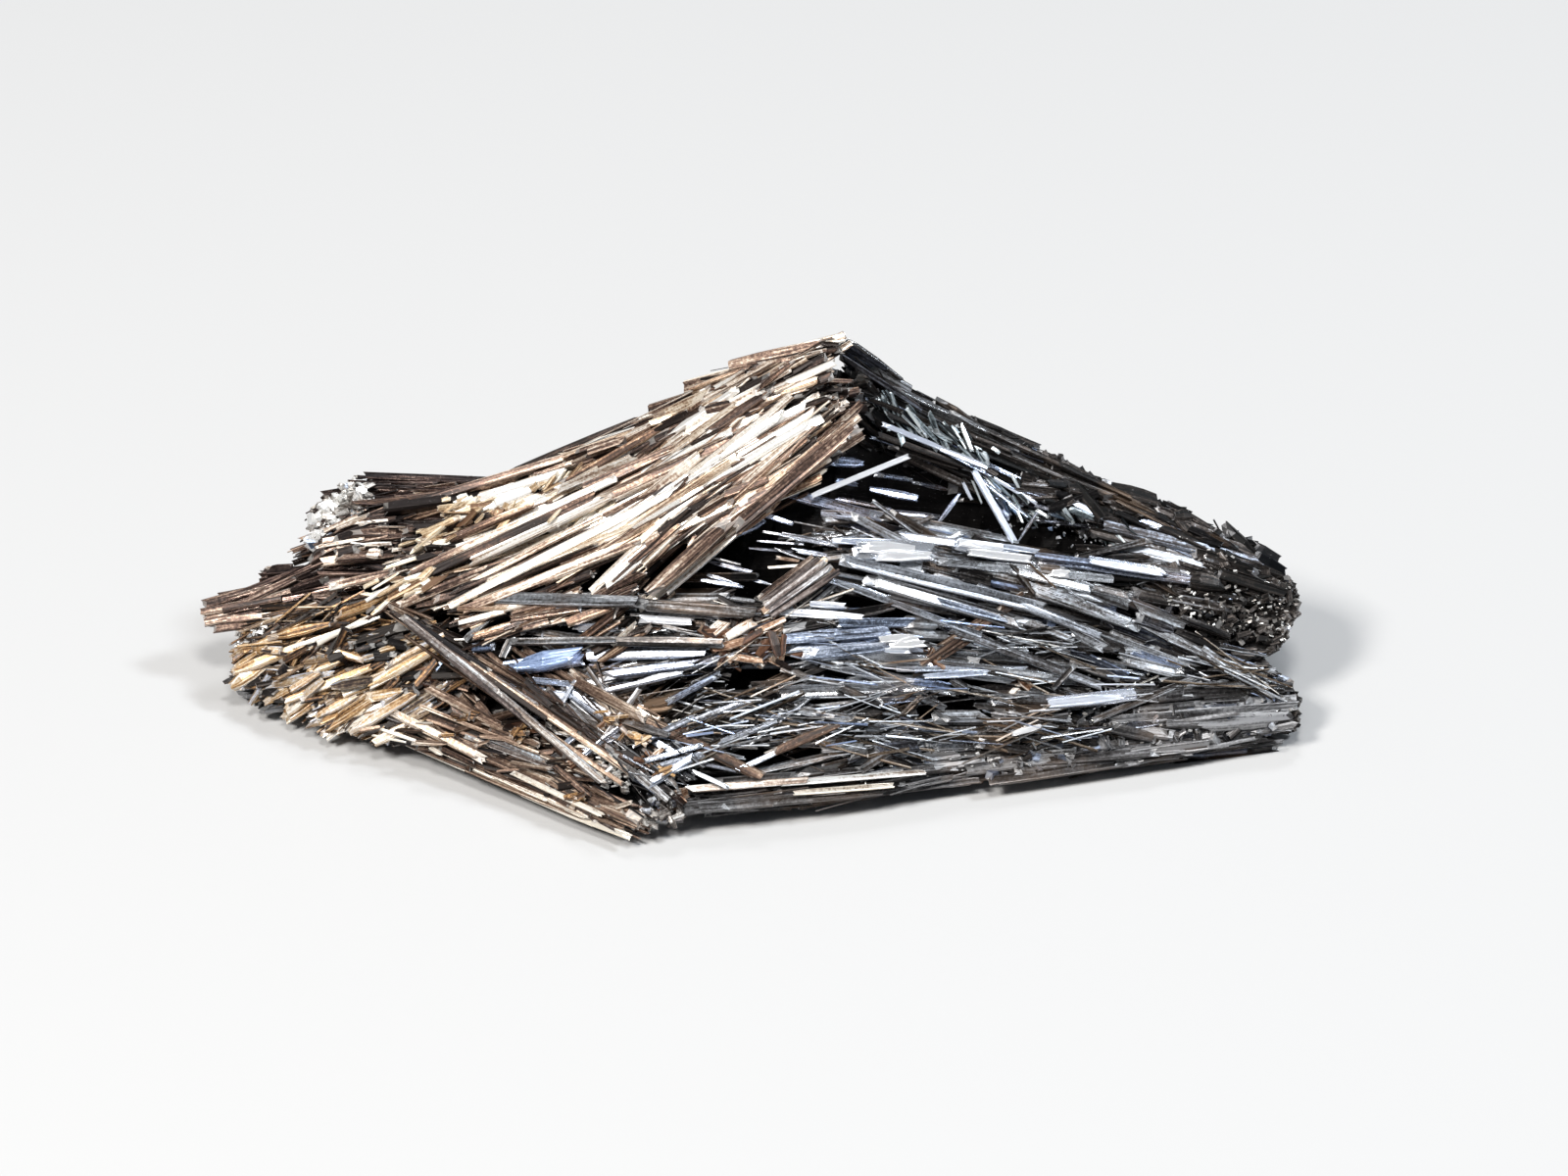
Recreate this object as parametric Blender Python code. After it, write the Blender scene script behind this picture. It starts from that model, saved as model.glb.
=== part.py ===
"""Zinkenite: a loose cluster of intergrown steel-grey lath crystals, 60 mm long.

The cluster has the form of a low mountain. A sloping front face and a steeper back face meet in a
crest that peaks right of the middle, and sheaves of laths lie over both. All of the crystals have
grown through each other, so they are one solid. +Z is up, +X runs along the cluster, and the front
face looks towards -Y. The origin is the middle of the base, on the resting surface.
"""

import math
import random
from collections import namedtuple

import bmesh
import bpy
from mathutils import Matrix, Vector

MM = 0.001

# Sections across the cluster, from its left end to its right end, in millimetres:
# x, y of the front foot, y and z of the crest, y of the back foot.
Section = namedtuple("Section", "x front crest_y crest_z back")
SECTIONS = (
    Section(-28.0, 0.5, 4.0, 4.2, 7.0),
    Section(-22.0, -3.5, 6.5, 8.3, 9.5),
    Section(-14.0, -7.0, 8.0, 8.4, 12.5),
    Section(-6.0, -12.3, 7.5, 12.5, 14.0),
    Section(-2.0, -11.6, 7.0, 15.9, 14.2),
    Section(5.0, -10.3, 6.0, 19.3, 14.0),
    Section(7.5, -9.6, 5.9, 16.2, 13.6),
    Section(15.0, -7.5, 5.5, 12.0, 12.5),
    Section(24.0, -5.3, 4.6, 7.9, 10.0),
    Section(29.0, -4.0, 3.5, 5.7, 7.5),
)
CENTRE = (-0.07, 0.38, 0.0)  # the middle of the cluster's base in these coordinates
EDGE_HEIGHT = 1.2  # the face starts this far above the foot
HEART_DEPTH = (0.7, 1.5)  # how far the massive heart lies behind the faces, which makes it rough
RIDGE_SHARES = (0.0, 0.2, 0.4, 0.6, 0.8)  # where long ridges of the heart run, as shares up a face
RING_STEP = 5.0  # the heart's rings are about this far apart
UNDERSIDE = 0.7  # the heart stays this far above the resting surface, and the lowest laths carry it
GROUND_BLOCK = (90.0, 60.0, 20.0)  # what is cut away below the resting surface

# Hollows between the sheaves: x and share up the front face of the middle, depth below the face,
# half sizes along X, up the face and into it, and the turn in the face.
Hollow = namedtuple("Hollow", "x share depth along up into turn")
HOLLOWS = (
    Hollow(10.5, 0.79, 1.2, 5.6, 2.3, 3.4, -8.0),  # under the crest, the largest
    Hollow(0.5, 0.54, 0.8, 3.6, 1.5, 2.6, 10.0),  # under the free tips of the tarnished fan
    Hollow(21.0, 0.45, 0.4, 3.2, 1.0, 2.2, -14.0),  # between the two lobes of the right end
    Hollow(-15.0, 0.33, 0.2, 2.6, 0.9, 1.8, 8.0),
)

# A sheaf is a bundle of near-parallel laths. start and end are places on a face: x in millimetres and
# the share of the way up from foot to crest. across is the sheaf's width at its start and its end.
Sheaf = namedtuple("Sheaf", "name face start end across laths wide reach lift")
SHEAVES = (
    # The tarnished fan, which rises from the left to the peak.
    Sheaf("fan_crest", "front", (-16.0, 0.92), (5.4, 0.98), (3.0, 3.4), 7, (1.1, 1.9), (0.45, 0.9), 0.3),
    Sheaf("fan_middle", "front", (-19.0, 0.66), (5.0, 0.92), (4.6, 3.6), 9, (1.0, 1.9), (0.45, 0.95), 1.0),
    Sheaf("fan_front", "front", (-16.5, 0.46), (4.8, 0.80), (3.6, 3.2), 8, (1.0, 1.7), (0.5, 0.95), 1.0),
    Sheaf("fan_tips", "front", (-9.5, 0.42), (1.5, 0.72), (3.8, 3.0), 3, (1.0, 1.3), (0.8, 1.0), 0.7),
    # The broken left end: an overhanging lobe, a tongue, and short ochre ends below.
    Sheaf("left_lobe", "front", (-24.4, 1.08), (-13.0, 0.94), (2.4, 2.6), 5, (1.2, 1.7), (0.8, 1.0), -0.2),
    Sheaf("lobe_under", "front", (-23.4, 1.02), (-14.0, 0.9), (2.0, 2.4), 3, (1.2, 1.6), (0.8, 1.0), -1.4),
    Sheaf("left_tongue", "front", (-30.0, 0.80), (-17.5, 0.60), (0.9, 3.8), 6, (1.2, 1.7), (0.7, 1.0), 0.1),
    Sheaf("ochre_top", "front", (-28.6, 0.44), (-16.0, 0.42), (1.8, 3.0), 5, (1.0, 1.5), (0.45, 0.8), 0.4),
    Sheaf("ochre_middle", "front", (-28.6, 0.12), (-16.0, 0.30), (2.0, 3.4), 6, (1.0, 1.5), (0.4, 0.7), 0.5),
    Sheaf("ochre_spikes", "front", (-24.2, -0.2), (-15.5, 0.42), (5.6, 3.6), 7, (0.9, 1.3), (0.75, 1.0), 0.4),
    Sheaf("left_edge", "front", (-20.0, 0.06), (-5.2, -0.04), (1.8, 1.3), 4, (1.0, 1.5), (0.7, 1.0), 0.45),
    Sheaf("diagonal", "front", (-19.9, 0.52), (-5.9, 0.08), (0.4, 0.7), 1, (1.1, 1.3), (0.96, 1.0), 1.3),
    Sheaf("diagonal_low", "front", (-13.0, 0.42), (-2.6, 0.10), (1.8, 2.6), 2, (0.8, 1.1), (0.6, 0.9), 0.7),
    Sheaf("low_left", "front", (-13.5, 0.12), (-1.0, 0.24), (2.2, 3.0), 4, (0.9, 1.5), (0.35, 0.7), 0.4),
    Sheaf("low_cross_left", "front", (-9.5, 0.30), (-3.0, 0.05), (4.0, 3.0), 2, (0.8, 1.1), (0.6, 0.9), 0.9),
    # Steel-grey laths of the middle, which run towards the right end.
    Sheaf("middle_left", "front", (-15.0, 0.56), (1.5, 0.42), (2.6, 3.0), 5, (0.9, 1.4), (0.5, 0.95), 0.7),
    Sheaf("middle_rise", "front", (-14.5, 0.24), (0.0, 0.38), (3.0, 3.0), 4, (0.9, 1.5), (0.35, 0.7), 0.4),
    Sheaf("step", "front", (1.5, 0.58), (23.6, 0.70), (1.4, 1.6), 5, (1.1, 1.6), (0.4, 0.7), 0.7),
    Sheaf("right_upper", "front", (3.5, 0.54), (22.0, 0.51), (3.2, 2.4), 6, (1.1, 1.7), (0.4, 0.8), 0.5),
    Sheaf("right_fall", "front", (13.0, 0.61), (29.6, 0.25), (3.4, 2.4), 6, (1.0, 1.6), (0.4, 0.8), 0.5),
    Sheaf("right_middle", "front", (-3.5, 0.36), (22.0, 0.30), (4.4, 3.2), 7, (1.0, 1.7), (0.3, 0.6), 0.5),
    Sheaf("right_lower", "front", (-5.0, 0.17), (20.0, 0.12), (3.4, 2.2), 6, (1.0, 1.6), (0.3, 0.6), 0.4),
    Sheaf("foot_middle", "front", (-4.4, 0.02), (13.0, 0.02), (1.6, 1.4), 4, (1.1, 1.7), (0.5, 0.95), 0.3),
    Sheaf("foot_right", "front", (11.0, 0.02), (29.4, -0.02), (1.4, 1.6), 4, (1.1, 1.6), (0.5, 0.95), 0.3),
    # The dark crest that falls to the right, and the two lobes of the broken right end.
    Sheaf("crest_inner", "front", (5.4, 0.88), (15.5, 0.91), (1.2, 2.2), 3, (0.9, 1.4), (0.6, 1.0), 0.3),
    Sheaf("crest_right", "front", (5.4, 0.93), (18.0, 0.97), (1.6, 2.2), 5, (1.1, 1.6), (0.5, 0.9), 0.2),
    Sheaf("crest_far", "front", (14.0, 0.97), (29.2, 0.99), (2.2, 2.2), 5, (1.1, 1.7), (0.4, 0.75), 0.2),
    Sheaf("lobe_back", "front", (17.5, 0.74), (30.0, 0.84), (3.2, 2.8), 5, (1.2, 1.8), (0.5, 0.9), 0.3),
    Sheaf("lobe_front", "front", (18.5, 0.13), (30.0, 0.10), (2.2, 2.0), 5, (1.2, 1.8), (0.55, 0.95), 0.5),
    # Single laths that lie across the others.
    Sheaf("stub", "front", (0.4, 0.41), (4.5, 0.52), (0.9, 0.9), 1, (1.1, 1.3), (0.9, 1.0), 1.3),
    Sheaf("bridge", "front", (3.2, 0.66), (8.4, 0.86), (0.1, 0.1), 1, (0.8, 0.9), (1.0, 1.0), 0.9),
    Sheaf("strut", "front", (11.6, 0.90), (14.3, 0.70), (0.8, 0.3), 2, (0.7, 0.8), (0.95, 1.0), 0.4),
    Sheaf("rusty_cross", "front", (8.6, 0.31), (15.0, 0.53), (1.2, 0.8), 1, (0.8, 1.0), (0.85, 1.0), 1.0),
    Sheaf("low_cross", "front", (-1.0, 0.33), (5.5, 0.50), (3.0, 2.4), 2, (0.8, 1.0), (0.6, 0.9), 0.4),
    # The back face.
    Sheaf("back_fan_crest", "back", (-24.0, 0.94), (4.8, 0.96), (2.2, 3.0), 5, (1.2, 1.9), (0.35, 0.65), 0.3),
    Sheaf("back_fan", "back", (-25.0, 0.55), (4.0, 0.72), (4.6, 5.0), 7, (1.2, 2.0), (0.35, 0.65), 0.4),
    Sheaf("back_fan_low", "back", (-22.0, 0.22), (4.0, 0.36), (4.0, 5.4), 6, (1.2, 2.0), (0.35, 0.6), 0.4),
    Sheaf("back_foot_left", "back", (-25.0, 0.04), (2.0, 0.04), (2.0, 2.4), 4, (1.2, 1.8), (0.35, 0.6), 0.3),
    Sheaf("back_crest", "back", (4.0, 0.94), (29.0, 0.94), (3.0, 2.0), 5, (1.2, 1.8), (0.35, 0.6), 0.3),
    Sheaf("back_right", "back", (2.0, 0.62), (29.6, 0.55), (5.6, 2.6), 7, (1.2, 2.0), (0.35, 0.6), 0.4),
    Sheaf("back_right_low", "back", (1.0, 0.26), (29.0, 0.22), (4.8, 2.4), 6, (1.2, 2.0), (0.35, 0.6), 0.4),
    Sheaf("back_foot_right", "back", (0.0, 0.04), (28.6, 0.05), (2.2, 1.8), 4, (1.2, 1.8), (0.35, 0.6), 0.3),
    Sheaf("back_cross", "back", (-11.0, 0.15), (0.0, 0.85), (4.0, 4.0), 2, (1.0, 1.4), (0.5, 0.8), 0.9),
    Sheaf("back_cross_far", "back", (17.0, 0.10), (9.0, 0.80), (4.0, 4.0), 2, (1.0, 1.4), (0.5, 0.8), 0.9),
)
THICKNESS_SHARE = (0.5, 0.8)  # a lath's thickness as a share of its width
AIM = 0.35  # how far, in millimetres, a lath's ends stray from the sheaf
LIFT_SPREAD = 0.5  # how far a lath may lie above or below its sheaf's own lift
SKEW = (22.0, 45.0)  # turns the four corners of a lath from a rhomb at 0 to a rectangle at 45 degrees
ROLL = 16.0  # how far a lath's broad face may turn from the face it lies on, in degrees
BREAK_SLOPE = 0.9  # the steepest oblique break at a lath's end
TAPER = (0.6, 0.95)  # the outer end's size as a share of the lath's
CORNER_REACH = 0.66  # from a lath's axis to its corners, as a share of its width

# Laths along the underside, which the cluster rests on.
FOOT_LATHS = 16
FOOT_SPAN = 0.74  # the share of the depth at that x that they cover
FOOT_LENGTH = (9.0, 17.0)
FOOT_WIDTH = (1.4, 2.4)
FOOT_THICKNESS_SHARE = 0.7
FOOT_CENTRE_HEIGHT = (0.3, 0.55)
FOOT_TURN = 14.0  # how far one may turn from the length of the cluster, in degrees
FOOT_STEP_ALONG = 2.4  # radians between one lath and the next in a sine that spreads them along X
FOOT_STEP_ACROSS = 0.618  # the share of the span from one lath to the next

STEEL = (0.30, 0.31, 0.33, 1.0)


def section_at(x):
    """The section at x, interpolated between the two nearest and held past the last ones."""
    for left, right in zip(SECTIONS, SECTIONS[1:]):
        if x <= right.x:
            break
    share = min(1.0, max(0.0, (x - left.x) / (right.x - left.x)))
    return Section(*(a + (b - a) * share for a, b in zip(left, right)))


def on_face(face, x, share):
    """A point on the front or back face: share 0 is at its lower edge, and 1 is on the crest."""
    at = section_at(x)
    foot = at.front if face == "front" else at.back
    y = foot + (at.crest_y - foot) * share
    return Vector((x, y, EDGE_HEIGHT + (at.crest_z - EDGE_HEIGHT) * share))


def normal_of(face, x, share):
    """The outward normal of a face at a place on it, from the slopes along it and up it."""
    step, rise = 0.5, 0.05
    along = on_face(face, x + step, share) - on_face(face, x - step, share)
    up = on_face(face, x, share + rise) - on_face(face, x, share - rise)
    normal = along.cross(up) if face == "front" else up.cross(along)
    return normal.normalized()


def laths_of(sheaf):
    """Yields (start, end, width, thickness, facing) for each lath of a sheaf, in millimetres."""
    rng = random.Random(sheaf.name)
    ahead = on_face(sheaf.face, *sheaf.end) - on_face(sheaf.face, *sheaf.start)
    for number in range(sheaf.laths):
        place = (number + 0.5) / sheaf.laths * 2 - 1
        reach = rng.uniform(*sheaf.reach)
        begin = rng.uniform(0, 1 - reach)
        lift = sheaf.lift + rng.uniform(-LIFT_SPREAD, LIFT_SPREAD)
        ends, facing = [], Vector()
        for share in (begin, begin + reach):
            x, up = (a + (b - a) * share for a, b in zip(sheaf.start, sheaf.end))
            normal = normal_of(sheaf.face, x, up)
            sideways = normal.cross(ahead).normalized()
            half = (sheaf.across[0] + (sheaf.across[1] - sheaf.across[0]) * share) / 2
            aside = place * half + rng.uniform(-AIM, AIM)
            ends.append(on_face(sheaf.face, x, up) + sideways * aside + normal * lift)
            facing += normal
        width = rng.uniform(*sheaf.wide)
        thickness = width * rng.uniform(*THICKNESS_SHARE)
        yield ends[0], ends[1], width, thickness, facing.normalized()


def foot_laths():
    """Yields the laths of the underside, side by side from front to back and from end to end."""
    rng = random.Random("underside")
    left, right = SECTIONS[0].x, SECTIONS[-1].x
    for number in range(FOOT_LATHS):
        length = rng.uniform(*FOOT_LENGTH)
        room = (right - left - length) / 2
        middle = (left + right) / 2 + room * math.sin(number * FOOT_STEP_ALONG)
        at = section_at(middle)
        spread = (at.back - at.front) * FOOT_SPAN
        y = (at.front + at.back) / 2 + spread * ((number * FOOT_STEP_ACROSS) % 1 - 0.5)
        turn = math.radians(rng.uniform(-FOOT_TURN, FOOT_TURN))
        half = Vector((math.cos(turn), math.sin(turn), 0)) * length / 2
        centre = Vector((middle, y, rng.uniform(*FOOT_CENTRE_HEIGHT)))
        width = rng.uniform(*FOOT_WIDTH)
        yield centre - half, centre + half, width, width * FOOT_THICKNESS_SHARE, Vector((0, 0, -1))


def lath_mesh(start, end, width, thickness, facing, rng):
    """A flattened four-sided prism from start to end, tapered a little, with oblique broken ends."""
    shape = bmesh.new()
    tip = CORNER_REACH * rng.uniform(*TAPER)
    bmesh.ops.create_cone(shape, cap_ends=True, segments=4, radius1=CORNER_REACH, radius2=tip, depth=1)
    shape.transform(Matrix.Rotation(math.radians(rng.uniform(*SKEW)), 4, "Z"))
    slopes = {end_z: rng.uniform(-BREAK_SLOPE, BREAK_SLOPE) for end_z in (-1, 1)}
    length = (end - start).length
    for point in shape.verts:
        end_z = 1 if point.co.z > 0 else -1
        break_offset = slopes[end_z] * point.co.x * width
        point.co = Vector((point.co.x * width, point.co.y * thickness, end_z * length / 2 + break_offset))
    along = (end - start).normalized()
    outward = (facing - along * facing.dot(along)).normalized()
    axes = Matrix((outward.cross(along), outward, along)).transposed()
    roll = Matrix.Rotation(math.radians(rng.uniform(-ROLL, ROLL)), 4, "Z")
    shape.transform(Matrix.Translation((start + end) / 2) @ axes.to_4x4() @ roll)
    return shape


def heart_mesh():
    """The massive heart: a loft through the sections, set back from both faces and rough."""
    shape = bmesh.new()
    rng = random.Random("heart")
    left, right = SECTIONS[0].x + RING_STEP / 2, SECTIONS[-1].x - RING_STEP / 2
    steps = round((right - left) / RING_STEP)
    rings = []
    for number in range(steps + 1):
        x = left + (right - left) * number / steps
        at = section_at(x)
        middle = Vector((x, (at.front + at.back) / 2, UNDERSIDE))
        ring = [on_face("front", x, share) for share in RIDGE_SHARES]
        ring += [on_face("front", x, 1)]
        ring += [on_face("back", x, share) for share in reversed(RIDGE_SHARES)]
        ring = [place + (middle - place).normalized() * rng.uniform(*HEART_DEPTH) for place in ring]
        ring = [Vector((x, ring[0].y, UNDERSIDE))] + ring + [Vector((x, ring[-1].y, UNDERSIDE))]
        rings.append([shape.verts.new(place) for place in ring])
    for left, right in zip(rings, rings[1:]):
        for corner in range(len(left)):
            after = (corner + 1) % len(left)
            shape.faces.new((left[corner], left[after], right[after], right[corner]))
    shape.faces.new(rings[0])
    shape.faces.new(rings[-1])
    bmesh.ops.triangulate(shape, faces=shape.faces)
    bmesh.ops.recalc_face_normals(shape, faces=shape.faces)
    return shape


def hollow_mesh(hollow):
    """A faceted ellipsoid that is cut from the heart to make a hollow between the sheaves."""
    shape = bmesh.new()
    bmesh.ops.create_icosphere(shape, subdivisions=1, radius=1)
    normal = normal_of("front", hollow.x, hollow.share)
    along = Vector((1, 0, 0))
    along = (along - normal * along.dot(normal)).normalized()
    axes = Matrix((along, normal.cross(along), normal)).transposed().to_4x4()
    middle = on_face("front", hollow.x, hollow.share) - normal * hollow.depth
    turn = Matrix.Rotation(math.radians(hollow.turn), 4, "Z")
    size = Matrix.Diagonal((hollow.along, hollow.up, hollow.into, 1))
    shape.transform(Matrix.Translation(middle) @ axes @ turn @ size)
    return shape


def object_from(shape, name, collection):
    """Turns a bmesh in millimetres into a mesh object in metres, in a collection."""
    shape.transform(Matrix.Scale(MM, 4))
    mesh = bpy.data.meshes.new(name)
    shape.to_mesh(mesh)
    shape.free()
    made = bpy.data.objects.new(name, mesh)
    collection.objects.link(made)
    return made


def combine(target, collection, operation):
    """Applies one Boolean of the target with every object in a collection."""
    boolean = target.modifiers.new(operation.lower(), "BOOLEAN")
    boolean.operation = operation
    boolean.operand_type = "COLLECTION"
    boolean.collection = collection
    boolean.solver = "EXACT"
    graph = bpy.context.evaluated_depsgraph_get()
    mesh = bpy.data.meshes.new_from_object(target.evaluated_get(graph))
    target.modifiers.clear()
    target.data = mesh


def keep_outer_body(target):
    """Deletes every shell but the outer one, such as the pockets that crossing laths seal."""
    shape = bmesh.new()
    shape.from_mesh(target.data)
    unseen, shells = set(shape.faces), []
    while unseen:
        shell, found = [], [unseen.pop()]
        while found:
            face = found.pop()
            shell.append(face)
            near = {other for rim in face.edges for other in rim.link_faces} & unseen
            unseen -= near
            found.extend(near)
        shells.append(shell)
    outer = max(shells, key=len)
    inner = [face for shell in shells if shell is not outer for face in shell]
    bmesh.ops.delete(shape, geom=inner, context="FACES")
    shape.to_mesh(target.data)
    shape.free()


def new_collection(name, shown=True):
    """A collection in the scene. Those that only hold cutters aren't rendered."""
    made = bpy.data.collections.new(name)
    made.hide_render = not shown
    bpy.context.scene.collection.children.link(made)
    return made


def steel_grey():
    """Tarnished steel-grey metal."""
    material = bpy.data.materials.new("steel_grey")
    material.use_nodes = True
    shader = material.node_tree.nodes["Principled BSDF"]
    shader.inputs["Base Color"].default_value = STEEL
    shader.inputs["Metallic"].default_value = 0.9
    shader.inputs["Roughness"].default_value = 0.38
    return material


def build():
    """Builds the cluster: the heart less its hollows, joined with every lath, cut level below."""
    for old in list(bpy.data.objects):
        bpy.data.objects.remove(old)
    cluster_parts = new_collection("zinkenite")
    hollows = new_collection("hollows", shown=False)
    laths = new_collection("laths", shown=False)
    ground = new_collection("ground", shown=False)

    cluster = object_from(heart_mesh(), "crystal_cluster", cluster_parts)
    for number, hollow in enumerate(HOLLOWS):
        object_from(hollow_mesh(hollow), f"hollow_{number}", hollows)
    combine(cluster, hollows, "DIFFERENCE")

    for sheaf in SHEAVES:
        rng = random.Random(sheaf.name + "_shape")
        for number, lath in enumerate(laths_of(sheaf)):
            object_from(lath_mesh(*lath, rng), f"{sheaf.name}_{number}", laths)
    rng = random.Random("underside_shape")
    for number, lath in enumerate(foot_laths()):
        object_from(lath_mesh(*lath, rng), f"underside_{number}", laths)
    combine(cluster, laths, "UNION")

    block = bmesh.new()
    bmesh.ops.create_cube(block, size=1)
    width, depth, height = GROUND_BLOCK
    block.transform(Matrix.Translation((0, 0, -height / 2)) @ Matrix.Diagonal((width, depth, height, 1)))
    object_from(block, "ground_block", ground)
    combine(cluster, ground, "DIFFERENCE")
    keep_outer_body(cluster)
    cluster.data.transform(Matrix.Translation(Vector(CENTRE) * -MM))
    cluster.data.materials.clear()
    cluster.data.materials.append(steel_grey())

    for collection in (hollows, laths, ground):
        for helper in list(collection.objects):
            bpy.data.objects.remove(helper)
        bpy.data.collections.remove(collection)


build()
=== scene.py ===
"""Zinkenite: the finish of every lath of the cluster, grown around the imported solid."""

import math
import random
from collections import namedtuple

import bpy
import numpy as np
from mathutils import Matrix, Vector


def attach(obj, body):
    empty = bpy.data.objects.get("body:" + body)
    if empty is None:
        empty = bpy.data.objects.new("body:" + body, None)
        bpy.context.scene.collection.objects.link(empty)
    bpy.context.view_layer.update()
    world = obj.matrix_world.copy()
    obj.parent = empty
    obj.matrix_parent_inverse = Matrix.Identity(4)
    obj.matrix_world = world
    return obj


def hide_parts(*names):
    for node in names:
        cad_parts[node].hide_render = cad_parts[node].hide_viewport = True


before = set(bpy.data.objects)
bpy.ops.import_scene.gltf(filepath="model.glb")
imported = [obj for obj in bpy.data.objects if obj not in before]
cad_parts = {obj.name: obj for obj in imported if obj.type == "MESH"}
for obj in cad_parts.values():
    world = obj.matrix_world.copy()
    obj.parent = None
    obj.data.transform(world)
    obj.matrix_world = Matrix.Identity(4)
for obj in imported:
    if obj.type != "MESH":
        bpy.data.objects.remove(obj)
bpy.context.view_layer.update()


# ---------------------------------------------------------------------------------------------
# The heart. Behind the visible laths the cluster is a dense tangle of older ones, painted nearly
# black as shade, as little light gets in. It follows the front and back faces a little way behind
# them, and sinks where the sheaves leave a hollow. Lengths are in millimetres until a mesh is made.
MM = 0.001
# Stations along the cluster: x, y of the front foot, y and z of the crest, y of the back foot.
STATIONS = np.array([
    (-28.0, 0.5, 4.0, 4.2, 7.0),
    (-22.0, -3.5, 6.5, 8.3, 9.5),
    (-14.0, -7.0, 8.0, 8.4, 12.5),
    (-6.0, -12.3, 7.5, 12.5, 14.0),
    (-2.0, -11.6, 7.0, 15.9, 14.2),
    (5.0, -10.3, 6.0, 19.3, 14.0),
    (7.5, -9.6, 5.9, 16.2, 13.6),
    (15.0, -7.5, 5.5, 12.0, 12.5),
    (24.0, -5.3, 4.6, 7.9, 10.0),
    (29.0, -4.0, 3.5, 5.7, 7.5),
])
FRONT_FOOT, CREST_Y, CREST_Z, BACK_FOOT = 1, 2, 3, 4
CENTRE = np.array((-0.07, 0.38, 0.0))  # the middle of the cluster's base in these coordinates
EDGE_HEIGHT = 1.2  # the faces start this far above the foot
HEART_ENDS = (-26.0, 27.0)
HEART_COLUMNS, HEART_ROWS = 150, 34
HEART_TOP = 0.97  # share up the faces where the heart's ridge is
HEART_DEPTH, HEART_RELIEF = 1.75, 0.35  # behind the faces, and how much that varies
HEART_FLOOR = 0.55
DEEPEST = 0.6  # of the way from a face to the middle of the base
# The heart's relief is lanes like packed laths, each cut into pieces of its own depth.
LANES, LANE_PIECES = 97, 31
LANE_WIDTH, LANE_SLANT = 0.55, 0.08
PIECE_LENGTH, PIECE_STAGGER = 4.3, 0.37
FACE_EXTRA = 6.0  # a face is about this much longer than the crest is high
# Hollows: x and share up the front face, half width along X, half width as a share, and depth.
HOLLOWS = (
    (10.6, 0.79, 5.2, 0.13, 2.6),
    (0.5, 0.54, 3.6, 0.08, 2.2),
    (21.0, 0.45, 3.0, 0.10, 1.6),
    (-15.0, 0.33, 2.6, 0.09, 1.2),
    (-10.5, 0.47, 2.2, 0.05, 1.2),
    (-5.5, 0.56, 3.4, 0.05, 1.6),
    (13.5, 0.24, 2.4, 0.05, 1.2),
)
HOLLOW_EDGE = 1.5  # a higher power makes a hollow's edge sharper


def station(x, column):
    return np.interp(x, STATIONS[:, 0], STATIONS[:, column])


def on_face(face, x, share):
    """Points on the front or back face: share 0 is at its lower edge, and 1 is on the crest."""
    x, share = np.broadcast_arrays(np.asarray(x, float), np.asarray(share, float))
    foot = station(x, FRONT_FOOT if face == "front" else BACK_FOOT)
    y = foot + (station(x, CREST_Y) - foot) * share
    z = EDGE_HEIGHT + (station(x, CREST_Z) - EDGE_HEIGHT) * share
    return np.stack((x, y, z), axis=-1)


def unit(vectors):
    return vectors / np.maximum(np.linalg.norm(vectors, axis=-1, keepdims=True), 1e-9)


def normal_of(face, x, share):
    """The outward normals of a face, from the slopes along it and up it."""
    step, rise = 0.5, 0.05
    along = on_face(face, x + step, share) - on_face(face, x - step, share)
    up = on_face(face, x, share + rise) - on_face(face, x, share - rise)
    return unit(np.cross(along, up) if face == "front" else np.cross(up, along))


def hollow_depth(face, x, share):
    """How far the hollows sink the front face at a place."""
    depth = np.zeros(np.broadcast(x, share).shape)
    if face == "front":
        for middle, up, half_x, half_up, sink in HOLLOWS:
            away = ((x - middle) / half_x) ** 2 + ((share - up) / half_up) ** 2
            depth = depth + sink * np.exp(-(away ** HOLLOW_EDGE))
    return depth


def heart_depth(face, x, share, relief):
    """How far the heart lies behind a face: lanes like packed laths, deeper in the hollows."""
    rise = share * (station(x, CREST_Z) + FACE_EXTRA)
    lane = np.floor(rise / LANE_WIDTH + x * LANE_SLANT).astype(int) % LANES
    piece = np.floor(x / PIECE_LENGTH + lane * PIECE_STAGGER).astype(int) % LANE_PIECES
    return HEART_DEPTH + HEART_RELIEF * relief[lane, piece] + hollow_depth(face, x, share)


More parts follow.
